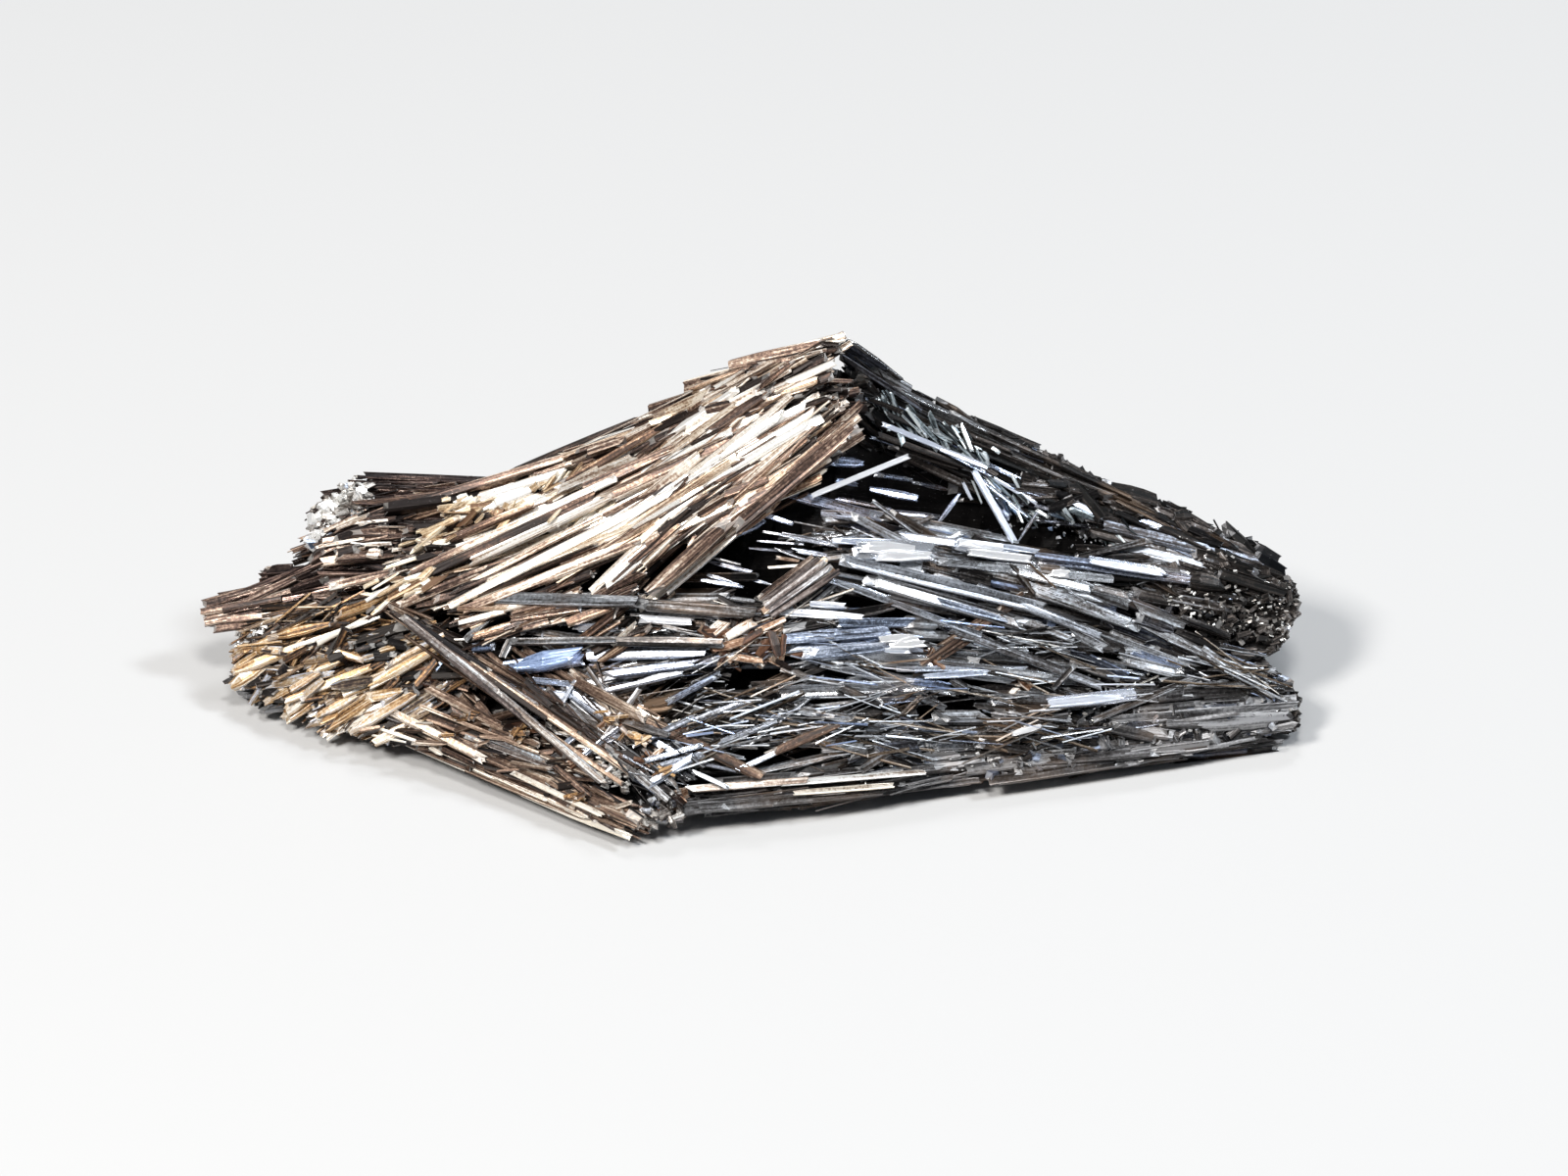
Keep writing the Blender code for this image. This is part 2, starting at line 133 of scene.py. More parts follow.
def heart_mesh():
    """Rings round the cluster, each up the front face and down the back one, closed at both ends."""
    lanes = np.random.default_rng(list(b"heart")).uniform(-1, 1, (LANES, LANE_PIECES))
    xs = np.linspace(*HEART_ENDS, HEART_COLUMNS)
    shares = np.linspace(0.0, HEART_TOP, HEART_ROWS)
    rings = []
    for x in xs:
        middle = np.array((x, (station(x, FRONT_FOOT) + station(x, BACK_FOOT)) / 2, HEART_FLOOR))
        ring = []
        for face, order in (("front", shares), ("back", shares[::-1])):
            places = on_face(face, x, order)
            reach = np.linalg.norm(places - middle, axis=1)
            depth = heart_depth(face, np.full(len(order), x), order, lanes)
            depth = np.minimum(depth, reach * DEEPEST)
            ring.append(places + (middle - places) / reach[:, None] * depth[:, None])
        ring = np.concatenate(ring)
        ring[:, 2] = np.maximum(ring[:, 2], HEART_FLOOR)
        rings.append(ring)
    rings = np.array(rings)
    columns, around = rings.shape[:2]
    points = (rings.reshape(-1, 3) - CENTRE) * MM
    faces = []
    for column in range(columns - 1):
        for step in range(around):
            after = (step + 1) % around
            a, b = column * around, (column + 1) * around
            faces.append((a + step, a + after, b + after, b + step))
    faces.append(tuple(range(around)))
    faces.append(tuple(reversed(range((columns - 1) * around, columns * around))))
    mesh = bpy.data.meshes.new("heart")
    mesh.from_pydata(points.tolist(), [], faces)
    grain = mesh.uv_layers.new(name="skin")
    flat = np.array([points[loop.vertex_index] for loop in mesh.loops]) / MM
    skin = np.stack((flat[:, 0], flat[:, 1] + flat[:, 2]), axis=1)
    grain.uv.foreach_set("vector", skin.ravel())
    return mesh


# The patterns in the metal: how fine each is along and across a lath, and how rough it is. The
# patches cross the laths, so they have one fineness, to a metre.
STREAKS, STREAK_ROUGHNESS = (0.10, 3.2, 1.0), 0.6
FLUTES, FLUTE_ROUGHNESS = (0.22, 13.0, 1.0), 0.65
FLECKS, FLECK_ROUGHNESS = (4.5, 11.0, 1.0), 0.7
PATCHES, PATCH_ROUGHNESS = 210.0, 0.5
PATTERN_DETAIL = 3.0
# How much each pattern moves the tone, and how much a glossy lath is painted paler than a dull one, a
# painted highlight.
STREAK_TONE, FLUTE_TONE, PATCH_TONE, FLECK_TONE, GLOSS_PAINTED_HIGHLIGHT = 1.2, 1.3, 0.7, 0.8, 0.22
# Brown stains come on where the patches pass a level, and tiny painted glints, pale specks painted into
# the colour, where the flecks do.
STAIN_START, STAIN_SLOPE = 0.53, 9.0
STAIN_DARK, STAIN_PALE = (0.030, 0.015, 0.009), (0.37, 0.25, 0.165)
PAINTED_GLINT_START, PAINTED_GLINT_SLOPE = 0.67, 9.0
BREAK_FRESHNESS, MOST_BREAK_AND_GLINT = 0.3, 0.9
SHADOW_DEPTH, SHADOW_UNEVEN = 0.36, 2.2
# Flecks and flutes roughen the metal, and gloss smooths it.
FLECK_ROUGHENS, FLUTE_ROUGHENS, GLOSS_SMOOTHS, SMOOTHEST = 0.2, 0.3, 0.24, 0.12
FLUTE_STRENGTH, FLUTE_DEPTH = 0.8, 0.00003
# The second colour is that of the breaks and of the painted glints, pale specks painted into the metal.
COOL, BREAK_AND_GLINT_COLOUR = (0.5, 0.66, 1.0), (0.75, 0.74, 0.72)


def lath_metal(name, tones, metallic, roughness, cool=COOL, break_and_glint_colour=BREAK_AND_GLINT_COLOUR, stained=0.0, shadow=None):
    """Striated, tarnished metal: streaks run along each lath, and patches of tarnish cross them.

    cool tints the blue laths, the colour after it is that of breaks and of painted glints, and
    shadow is the edges, each with its softness, left of which and above which the metal is dark.
    """
    material = bpy.data.materials.new(name)
    material.use_nodes = True
    nodes, links = material.node_tree.nodes, material.node_tree.links
    shader = nodes["Principled BSDF"]
    shader.inputs["Metallic"].default_value = metallic

    def math_node(operation, *values):
        made = nodes.new("ShaderNodeMath")
        made.operation = operation
        for socket, value in zip(made.inputs, values):
            if isinstance(value, (int, float)):
                socket.default_value = value
            else:
                links.new(value, socket)
        return made.outputs[0]

    def mix(factor, first, second, blend="MIX"):
        made = nodes.new("ShaderNodeMix")
        made.data_type = "RGBA"
        made.blend_type = blend
        sockets = (made.inputs[0], made.inputs[6], made.inputs[7])  # the factor and two colours
        for socket, value in zip(sockets, (factor, first, second)):
            if isinstance(value, (int, float)):
                socket.default_value = value
            elif isinstance(value, tuple):
                socket.default_value = (*value, 1.0)
            else:
                links.new(value, socket)
        return made.outputs[2]

    def noise(vector, scale, spread):
        made = nodes.new("ShaderNodeTexNoise")
        made.inputs["Scale"].default_value = scale
        made.inputs["Detail"].default_value = PATTERN_DETAIL
        made.inputs["Roughness"].default_value = spread
        links.new(vector, made.inputs["Vector"])
        return made.outputs["Fac"]

    def along_lath(fineness, spread):
        made = nodes.new("ShaderNodeMapping")
        made.inputs["Scale"].default_value = fineness
        links.new(skin.outputs[0], made.inputs["Vector"])
        return noise(made.outputs[0], 1.0, spread)

    def centred(pattern):
        return math_node("SUBTRACT", pattern, 0.5)

    def past(pattern, level, slope):
        return math_node("MULTIPLY", math_node("SUBTRACT", pattern, level), slope)

    skin = nodes.new("ShaderNodeUVMap")
    skin.uv_map = "skin"
    streaks = along_lath(STREAKS, STREAK_ROUGHNESS)
    flutes = along_lath(FLUTES, FLUTE_ROUGHNESS)
    flecks = along_lath(FLECKS, FLECK_ROUGHNESS)
    place = nodes.new("ShaderNodeTexCoord")
    patches = noise(place.outputs["Object"], PATCHES, PATCH_ROUGHNESS)
    tint = nodes.new("ShaderNodeAttribute")
    tint.attribute_name = "tint"
    parts = nodes.new("ShaderNodeSeparateXYZ")
    links.new(tint.outputs["Vector"], parts.inputs[0])
    shade, gloss, blue = parts.outputs
    broken = nodes.new("ShaderNodeAttribute")
    broken.attribute_name = "broken"

    # A glossy lath is painted paler: a painted highlight.
    tone = math_node("MULTIPLY_ADD", gloss, GLOSS_PAINTED_HIGHLIGHT, shade)
    weights = (STREAK_TONE, FLUTE_TONE, PATCH_TONE, FLECK_TONE)
    for pattern, weight in zip((streaks, flutes, patches, flecks), weights):
        tone = math_node("MULTIPLY_ADD", centred(pattern), weight, tone)
    if shadow:
        axes = nodes.new("ShaderNodeSeparateXYZ")
        links.new(place.outputs["Object"], axes.inputs[0])
        (edge, reach), (height, soft) = shadow
        left = math_node("MULTIPLY_ADD", axes.outputs[0], -1 / (reach * MM), edge / reach)
        above = math_node("MULTIPLY_ADD", axes.outputs[2], 1 / (soft * MM), -height / soft)
        uneven = math_node("MULTIPLY", centred(streaks), SHADOW_UNEVEN)
        both = math_node("MINIMUM", math_node("ADD", math_node("MINIMUM", left, above), uneven), 1.0)
        tone = math_node("MULTIPLY_ADD", math_node("MAXIMUM", both, 0.0), -SHADOW_DEPTH, tone)
    ramp = nodes.new("ShaderNodeValToRGB")
    elements = ramp.color_ramp.elements
    while len(elements) < len(tones):
        elements.new(0.5)
    for element, (position, colour) in zip(elements, tones):
        element.position = position
        element.color = (*colour, 1.0)
    links.new(tone, ramp.inputs[0])
    colour = mix(blue, ramp.outputs[0], mix(1.0, ramp.outputs[0], cool, "MULTIPLY"))
    stain = math_node("MAXIMUM", past(patches, STAIN_START, STAIN_SLOPE), 0.0)
    stain = math_node("MULTIPLY", math_node("MINIMUM", stain, 1.0), stained)
    colour = mix(stain, colour, mix(streaks, STAIN_DARK, STAIN_PALE))
    # Painted glints: where the flecks pass a level, the colour is painted pale.
    painted_glint = math_node("MAXIMUM", past(flecks, PAINTED_GLINT_START, PAINTED_GLINT_SLOPE), 0.0)
    break_and_glint_share = math_node("MULTIPLY_ADD", broken.outputs["Fac"], BREAK_FRESHNESS, painted_glint)
    colour = mix(math_node("MINIMUM", break_and_glint_share, MOST_BREAK_AND_GLINT), colour, break_and_glint_colour)
    links.new(colour, shader.inputs["Base Color"])

    rough = math_node("MULTIPLY_ADD", centred(flecks), FLECK_ROUGHENS, roughness)
    rough = math_node("MULTIPLY_ADD", centred(flutes), FLUTE_ROUGHENS, rough)
    rough = math_node("MULTIPLY_ADD", gloss, -GLOSS_SMOOTHS, rough)
    rough = math_node("MAXIMUM", rough, SMOOTHEST)
    links.new(rough, shader.inputs["Roughness"])

    bump = nodes.new("ShaderNodeBump")
    bump.inputs["Strength"].default_value = FLUTE_STRENGTH
    bump.inputs["Distance"].default_value = FLUTE_DEPTH
    links.new(flutes, bump.inputs["Height"])
    links.new(bump.outputs[0], shader.inputs["Normal"])
    return material


# The heart's tones are painted shade: near black, for the depth where little light gets in.
HEART_PAINTED_SHADE_TONES = (
    (0.20, (0.008, 0.007, 0.007)),
    (0.55, (0.035, 0.032, 0.033)),
    (0.90, (0.12, 0.12, 0.125)),
)


def finish_piece(mesh, name, material):
    """Puts a mesh in the scene as a piece of the cluster."""
    piece = bpy.data.objects.new(name, mesh)
    bpy.context.scene.collection.objects.link(piece)
    mesh.materials.append(material)
    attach(piece, "root")
    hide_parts("crystal_cluster")


finish_piece(heart_mesh(), "heart", lath_metal("heart_metal", HEART_PAINTED_SHADE_TONES, metallic=0.8, roughness=0.5))


# ---------------------------------------------------------------------------------------------
# The tarnished fan. Long laths fan out from the left and rise side by side to the peak. They are
# deeply striated, and a thin brown and cream tarnish covers the grey metal; its palest cream and
# white is painted highlight. Their upper ends broke off in steps, and a few stand clear over the
# hollow.

# A sheaf is a strip of a face: where it starts and ends, as x and the share up the face, how wide
# it is at both, how many main laths it has, their widths, how much of it each spans, and its lift.
# A sheaf without main laths is only strewn over.
Sheaf = namedtuple("Sheaf", "name start end across laths wide reach lift face", defaults=("front",))
AIM = 0.35  # how far a main lath's end may lie from its place across the strip
LIFT_SPREAD = 0.5
THICKNESS_SHARE = (0.5, 0.8)
Laths = namedtuple("Laths", "start end facing width thickness shade gloss blue")
# How a kind of lath is carved: corners round it, rings along it, how far its split ends step back
# in widths, how deep its grooves are, and how far its ends taper.
Carving = namedtuple("Carving", "corners rings splinter groove taper")
BROAD = Carving(14, 4, 1.6, 0.34, (0.85, 1.0))
MIDDLING = Carving(9, 3, 1.3, 0.28, (0.7, 1.0))
NEEDLE = Carving(5, 2, 0.8, 0.0, (0.4, 0.9))
SQUARENESS = 0.36
SPLIT_SHARE = 0.65  # of a broken end's step that is a clean split, and the rest is ragged


def along_strip(sheaf, share):
    """x and the share up the face this far along a sheaf, and half the strip's width there."""
    x, up = (a + (b - a) * share for a, b in zip(sheaf.start, sheaf.end))
    return x, up, (sheaf.across[0] + (sheaf.across[1] - sheaf.across[0]) * share) / 2


def strip_places(sheaf, along, across, lift):
    """Places on a sheaf's strip of a face, and the normals there."""
    x, up, half = along_strip(sheaf, along)
    normal = normal_of(sheaf.face, x, up)
    ahead = on_face(sheaf.face, *sheaf.end) - on_face(sheaf.face, *sheaf.start)
    sideways = unit(np.cross(normal, ahead))
    shift = (across * half)[:, None]
    return on_face(sheaf.face, x, up) + sideways * shift + normal * lift[:, None], normal


def main_laths(sheaf):
    """The sheaf's main laths, which lie where the solid has them."""
    rng = random.Random(sheaf.name)
    ahead = on_face(sheaf.face, *sheaf.end) - on_face(sheaf.face, *sheaf.start)
    for number in range(sheaf.laths):
        place = (number + 0.5) / sheaf.laths * 2 - 1
        reach = rng.uniform(*sheaf.reach)
        begin = rng.uniform(0, 1 - reach)
        lift = sheaf.lift + rng.uniform(-LIFT_SPREAD, LIFT_SPREAD)
        ends, facing = [], np.zeros(3)
        for share in (begin, begin + reach):
            x, up, half = along_strip(sheaf, share)
            normal = normal_of(sheaf.face, x, up)
            sideways = unit(np.cross(normal, ahead))
            aside = place * half + rng.uniform(-AIM, AIM)
            ends.append(on_face(sheaf.face, x, up) + sideways * aside + normal * lift)
            facing += normal
        width = rng.uniform(*sheaf.wide)
        thickness = width * rng.uniform(*THICKNESS_SHARE)
        yield ends[0], ends[1], width, thickness, unit(facing)


# A look: the range of shades from dark to pale, how glossy the glossiest lath is, and the share
# of laths that are blue.
Look = namedtuple("Look", "shade gloss blue")
DULLNESS = 3  # a higher power makes more of the laths dull
BLUENESS = (0.3, 0.9)


def own_looks(count, rng, look):
    """Each lath's own shade, gloss and blueness. Most are dull, and a few are bright."""
    return (
        rng.uniform(*look.shade, count),
        rng.uniform(0, 1, count) ** DULLNESS * look.gloss,
        (rng.uniform(0, 1, count) < look.blue) * rng.uniform(*BLUENESS, count),
    )


def dressed(rows, rng, look):
    """Laths from rows of their ends, facing, width and thickness, each with a look of its own."""
    columns = [np.array(column) for column in zip(*rows)]
    return Laths(*columns, *own_looks(len(rows), rng, look))


# How the blades of a main lath differ: the share of ends cut short, how far they spread over its
# width, rise out of it and roll, and how wide and thick they are. They sway by millimetres.
CUT_SHARE = 0.7
BLADE_SPREAD, BLADE_RISE, BLADE_ROLL = 0.95, (-0.25, 0.22), 0.45
BLADE_WIDTH, BLADE_THICKNESS = (0.95, 1.7), (0.5, 0.9)
SWAY_ACROSS, SWAY_OUT = 0.12, 0.1
SNAPPED = 0.7  # the share of blades that snapped across and healed out of line
SNAP_PLACE = (0.3, 0.7)
SNAP_ACROSS, SNAP_OUT = 0.15, 0.12
TRIM = 0.22  # the most that is cut from a blade's end, as a share of its lath


def split_laths(sheaf, look, blades, trim=TRIM):
    """Splits each main lath into a few parallel blades of unequal length."""
    rng = np.random.default_rng(list(sheaf.name.encode()))
    rows = []
    for start, end, width, thickness, facing in main_laths(sheaf):
        ahead, length = unit(end - start), np.linalg.norm(end - start)
        across = unit(np.cross(facing, ahead))
        for number in range(blades):
            place = (number + 0.5) / blades - 0.5
            cut = rng.uniform(0, trim, 2) * length * (rng.uniform(0, 1, 2) < CUT_SHARE)
            aside = across * place * width * BLADE_SPREAD
            rise = facing * rng.uniform(*BLADE_RISE) * thickness
            sway = across * rng.uniform(-SWAY_ACROSS, SWAY_ACROSS, 2)[:, None]
            sway = sway + facing * rng.uniform(-SWAY_OUT, SWAY_OUT, 2)[:, None]
            first, last = start + ahead * cut[0] + sway[0], end - ahead * cut[1] + sway[1]
            snaps = (0.0, 1.0)
            if rng.uniform(0, 1) < SNAPPED:
                snaps = (0.0, rng.uniform(*SNAP_PLACE), 1.0)
            for low, high in zip(snaps, snaps[1:]):
                own = width / blades * rng.uniform(*BLADE_WIDTH)
                shift = across * rng.uniform(-SNAP_ACROSS, SNAP_ACROSS) * width
                shift = shift + facing * rng.uniform(-SNAP_OUT, SNAP_OUT) * thickness
                rows.append((first + (last - first) * low + aside + rise + shift,
                             first + (last - first) * high + aside + rise + shift,
                             unit(facing + across * rng.uniform(-BLADE_ROLL, BLADE_ROLL)),
                             own, min(own * rng.uniform(*BLADE_THICKNESS), thickness)))
    return dressed(rows, rng, look)


# The clefts of the front, black with the heart's painted shade: the ends of each as they show, and half
# its width.
CLEFTS = (
    ((-8.6, 6.1), (-6.6, 8.2), 0.5),
    ((-5.5, 6.1), (-3.5, 8.3), 0.45),
    ((-3.4, 6.2), (-0.8, 7.5), 0.8),
    ((-0.8, 8.1), (1.7, 6.2), 1.0),
    ((-11.6, 3.7), (-8.9, 4.0), 0.35),
    ((-14.4, 3.9), (-13.1, 4.5), 0.25),
    ((-5.3, 4.5), (-1.5, 3.9), 0.25),
    ((-0.4, 1.3), (0.9, 1.9), 0.6),
    ((-6.5, 0.5), (-4.6, 0.9), 0.2),
    ((-14.8, 0.7), (-13.6, -0.2), 0.3),
    ((-11.4, -0.4), (-9.8, -1.2), 0.15),
    ((0.0, -2.7), (1.5, -3.0), 0.3),
    ((-4.9, -0.4), (-3.8, -1.5), 0.15),
    ((0.8, 8.6), (2.8, 8.0), 0.45),
    ((4.4, 7.0), (7.4, 5.4), 0.35),
    ((7.4, 4.6), (10.8, 3.2), 0.25),
    ((12.0, 7.6), (13.6, 7.2), 0.25),
    ((12.6, 6.4), (15.2, 5.2), 0.2),
    ((9.6, 2.6), (12.0, 2.4), 0.2),
    ((14.8, 4.8), (16.8, 4.2), 0.2),
    ((14.5, 8.8), (20.9, 9.0), 0.6),
    ((18.3, 6.2), (20.9, 5.6), 0.6),
    ((20.5, 5.2), (23.3, 5.0), 0.4),
    ((25.3, 3.6), (26.9, 3.2), 0.35),
    ((12.5, 1.4), (14.9, 0.8), 0.25),
    ((16.3, 2.4), (17.3, 1.2), 0.2),
    ((23.7, -0.5), (26.1, -0.2), 0.2),
    ((26.9, -0.9), (29.1, -0.7), 0.3),
    ((22.5, 9.0), (23.9, 7.8), 0.25),
)
# Smaller clefts lie all over the right half, along the laths: the span of x, the lowest and the
# highest at its two ends, their lengths, their slope and its spread in degrees, and half widths.
SMALL_CLEFTS = 60
SMALL_X, SMALL_LOW, SMALL_HIGH = (2.0, 27.0), (-4.0, -1.5), (7.0, 4.5)
SMALL_LENGTH, SMALL_SLOPE, SMALL_REACH = (0.6, 2.4), (-10, 13), (0.1, 0.24)
cleft_draw = random.Random("clefts")
for _ in range(SMALL_CLEFTS):
    x, rise = cleft_draw.uniform(*SMALL_X), cleft_draw.uniform(0.0, 1.0)
    low, high = np.interp(x, SMALL_X, SMALL_LOW), np.interp(x, SMALL_X, SMALL_HIGH)
    up, length = low + (high - low) * rise, cleft_draw.uniform(*SMALL_LENGTH)
    fall = length * math.tan(math.radians(cleft_draw.gauss(*SMALL_SLOPE)))
    CLEFTS += (((x, up), (x + length, up + fall), cleft_draw.uniform(*SMALL_REACH)),)
VIEW_TILT = math.radians(35.0)  # single laths and clefts are laid out as they show from this far up
CLEFT_TRIALS = np.linspace(0.04, 0.96, 8)  # where along a lath it is tried against the clefts


def height_shown(places):
    """How far up places show."""
    return places[..., 1] * math.sin(VIEW_TILT) + places[..., 2] * math.cos(VIEW_TILT)


def clear_of_clefts(laths):
    """The laths that cross no cleft."""
    keep = np.ones(len(laths.width), bool)
    for share in CLEFT_TRIALS:
        place = laths.start + (laths.end - laths.start) * share
        shown = np.stack((place[:, 0], height_shown(place)), axis=1)
        for first, last, reach in CLEFTS:
            first, span = np.array(first), np.subtract(last, first)
            along = np.clip((shown - first) @ span / (span @ span), 0, 1)
            away = np.linalg.norm(shown - first - along[:, None] * span, axis=1)
            keep &= (away > reach) | (place[:, 1] > station(place[:, 0], CREST_Y))
    return Laths(*(column[keep] for column in laths))


# A size of strewn lath: how many to a square millimetre, their lengths and widths, and their lifts.
Size = namedtuple("Size", "density length wide lift")
SPILL = 1.1  # how far from the strip's middle they lie, as a share of its half width
LONGEST = 0.95  # of the sheaf's length
STRAY_LIMIT = 1.8  # how many times its usual stray a lath may go astray
NARROWEST = 0.2  # half the width that a strip counts as having at least
TIP_LIFT = 0.12
STREWN_THICKNESS, STREWN_ROLL = (0.45, 0.85), 0.8
# Painted shade: deeper strewn laths are painted darker, for the shade among the laths.
DEPTH_PAINTED_SHADE = 0.42  # how much darker the deepest strewn laths are


def strewn_laths(sheaf, size, look, stray, turn=0.0):
    """Smaller laths strewn over a sheaf's strip, turned from it and astray by some degrees."""
    rng = np.random.default_rng(list(f"{sheaf.name} {size.density} {size.wide} {turn}".encode()))
    span = np.linalg.norm(on_face(sheaf.face, *sheaf.end) - on_face(sheaf.face, *sheaf.start))
    half = (sheaf.across[0] + sheaf.across[1]) / 4
    count = round(size.density * span * half * 2)
    share = np.minimum(rng.uniform(*size.length, count) / span, LONGEST)
    begin = rng.uniform(0, 1, count) * (1 - share)
    across = rng.uniform(-SPILL, SPILL, count)
    astray = np.clip(rng.normal(0, 1, count), -STRAY_LIMIT, STRAY_LIMIT) * stray
    drift = np.tan(np.radians(turn + astray)) * share * span / max(half, NARROWEST)
    x, up, _ = along_strip(sheaf, begin + share / 2)
    raised = rng.uniform(0, 1, count)
    height = sheaf.lift + size.lift[0] + (size.lift[1] - size.lift[0]) * raised
    height = height - hollow_depth(sheaf.face, x, up)
    tip = rng.normal(0, TIP_LIFT, (2, count))
    start, normal = strip_places(sheaf, begin, across - drift / 2, height + tip[0])
    end, normal_end = strip_places(sheaf, begin + share, across + drift / 2, height + tip[1])
    width = rng.uniform(*size.wide, count)
    thickness = width * rng.uniform(*STREWN_THICKNESS, count)
    sideways = unit(np.cross(normal, end - start))
    facing = unit(normal + normal_end + sideways * rng.normal(0, STREWN_ROLL, count)[:, None])
    shade, gloss, blue = own_looks(count, rng, look)
    # Painted shade: the deeper a lath lies, the darker it is painted.
    shade = shade - DEPTH_PAINTED_SHADE * (1 - raised)
    laths = Laths(start, end, facing, width, thickness, shade, gloss, blue)
    return clear_of_clefts(laths) if sheaf.face == "front" else laths


NEEDLE_STRAY = 1.6  # how much further astray the needles lie


def grown(sheaf, look, smaller, needles, blades, stray, turn=0.0, trim=TRIM):
    """A sheaf's main laths split into blades, with smaller laths and needles strewn over them."""
    return [
        (split_laths(sheaf, look, blades, trim), BROAD),
        (strewn_laths(sheaf, smaller, look, stray, turn), MIDDLING),
        (strewn_laths(sheaf, needles, look, stray * NEEDLE_STRAY, turn), NEEDLE),
    ]


LATH_THICKNESS = 0.6  # of its width
# The shares up the face between which a place is looked for, and how often they are halved.
LOWEST, HIGHEST, HALVINGS = -0.5, 1.4, 24


def shown_at(x, up, lift):
    """The place a lift above the front face that shows this far up, and the normal there."""
    low, high = LOWEST, HIGHEST
    for _ in range(HALVINGS):
        share = (low + high) / 2
        normal = normal_of("front", x, share)
        place = on_face("front", x, share) + normal * lift
        low, high = (share, high) if height_shown(place) < up else (low, share)
    return place, normal


def single_laths(rows):
    """Single laths: x and height shown of both ends, lift, width, shade, gloss and blueness."""
    made = []
    for start, end, lift, width, shade, gloss, blue in rows:
        (first, outward), (last, other) = shown_at(*start, lift), shown_at(*end, lift)
        made.append((first, last, unit(outward + other), width, width * LATH_THICKNESS,
                     shade, gloss, blue))
    return Laths(*(np.array(column) for column in zip(*made)))


GRAIN = Carving(6, 2, 0.5, 0.1, (0.6, 1.0))
GRAIN_LEVEL = (2.4, 1.0, 1.0)  # grains lie along the cluster more often than across it
GRAIN_WIDTH, GRAIN_THICKNESS = (0.35, 0.9), (0.5, 1.0)


def grains(name, count, x, up, lift, length, look):
    """Stubby crystals that lie every way over part of the front face, within these spans."""
    rng = np.random.default_rng(list(name.encode()))
    xs, ups = rng.uniform(*x, count), rng.uniform(*up, count)
    height = rng.uniform(*lift, count) - hollow_depth("front", xs, ups)
    middle = on_face("front", xs, ups) + normal_of("front", xs, ups) * height[:, None]
    size = rng.uniform(*length, count)
    ahead = unit(rng.normal(0, 1, (count, 3)) * GRAIN_LEVEL) * size[:, None] / 2
    width = size * rng.uniform(*GRAIN_WIDTH, count)
    facing = rng.normal(0, 1, (count, 3))
    thickness = width * rng.uniform(*GRAIN_THICKNESS, count)
    return Laths(middle - ahead, middle + ahead, facing, width, thickness,
                 *own_looks(count, rng, look))


# How unevenly laths are carved: how far corners and rings stray from even places, how much they
# swell, how shallow every second groove is, how much of a lath may split, and which side does.
CORNER_STRAY, RING_STRAY, SWELL = 0.25, 0.12, 0.06
SHALLOW_GROOVE = 0.4
SPLIT_LIMIT, SPLIT_SIDE, SPLIT_LEVEL = 0.3, (0, 7), (-0.2, 0.95)
GIRTH = 0.85  # of a square-edged lath's girth, as the edges are rounded
APEX = 0.4  # an end's skin rises by half its thickness, which counts as this at most
Carved = namedtuple("Carved", "points quads tris quad_skin tri_skin length girth apex")


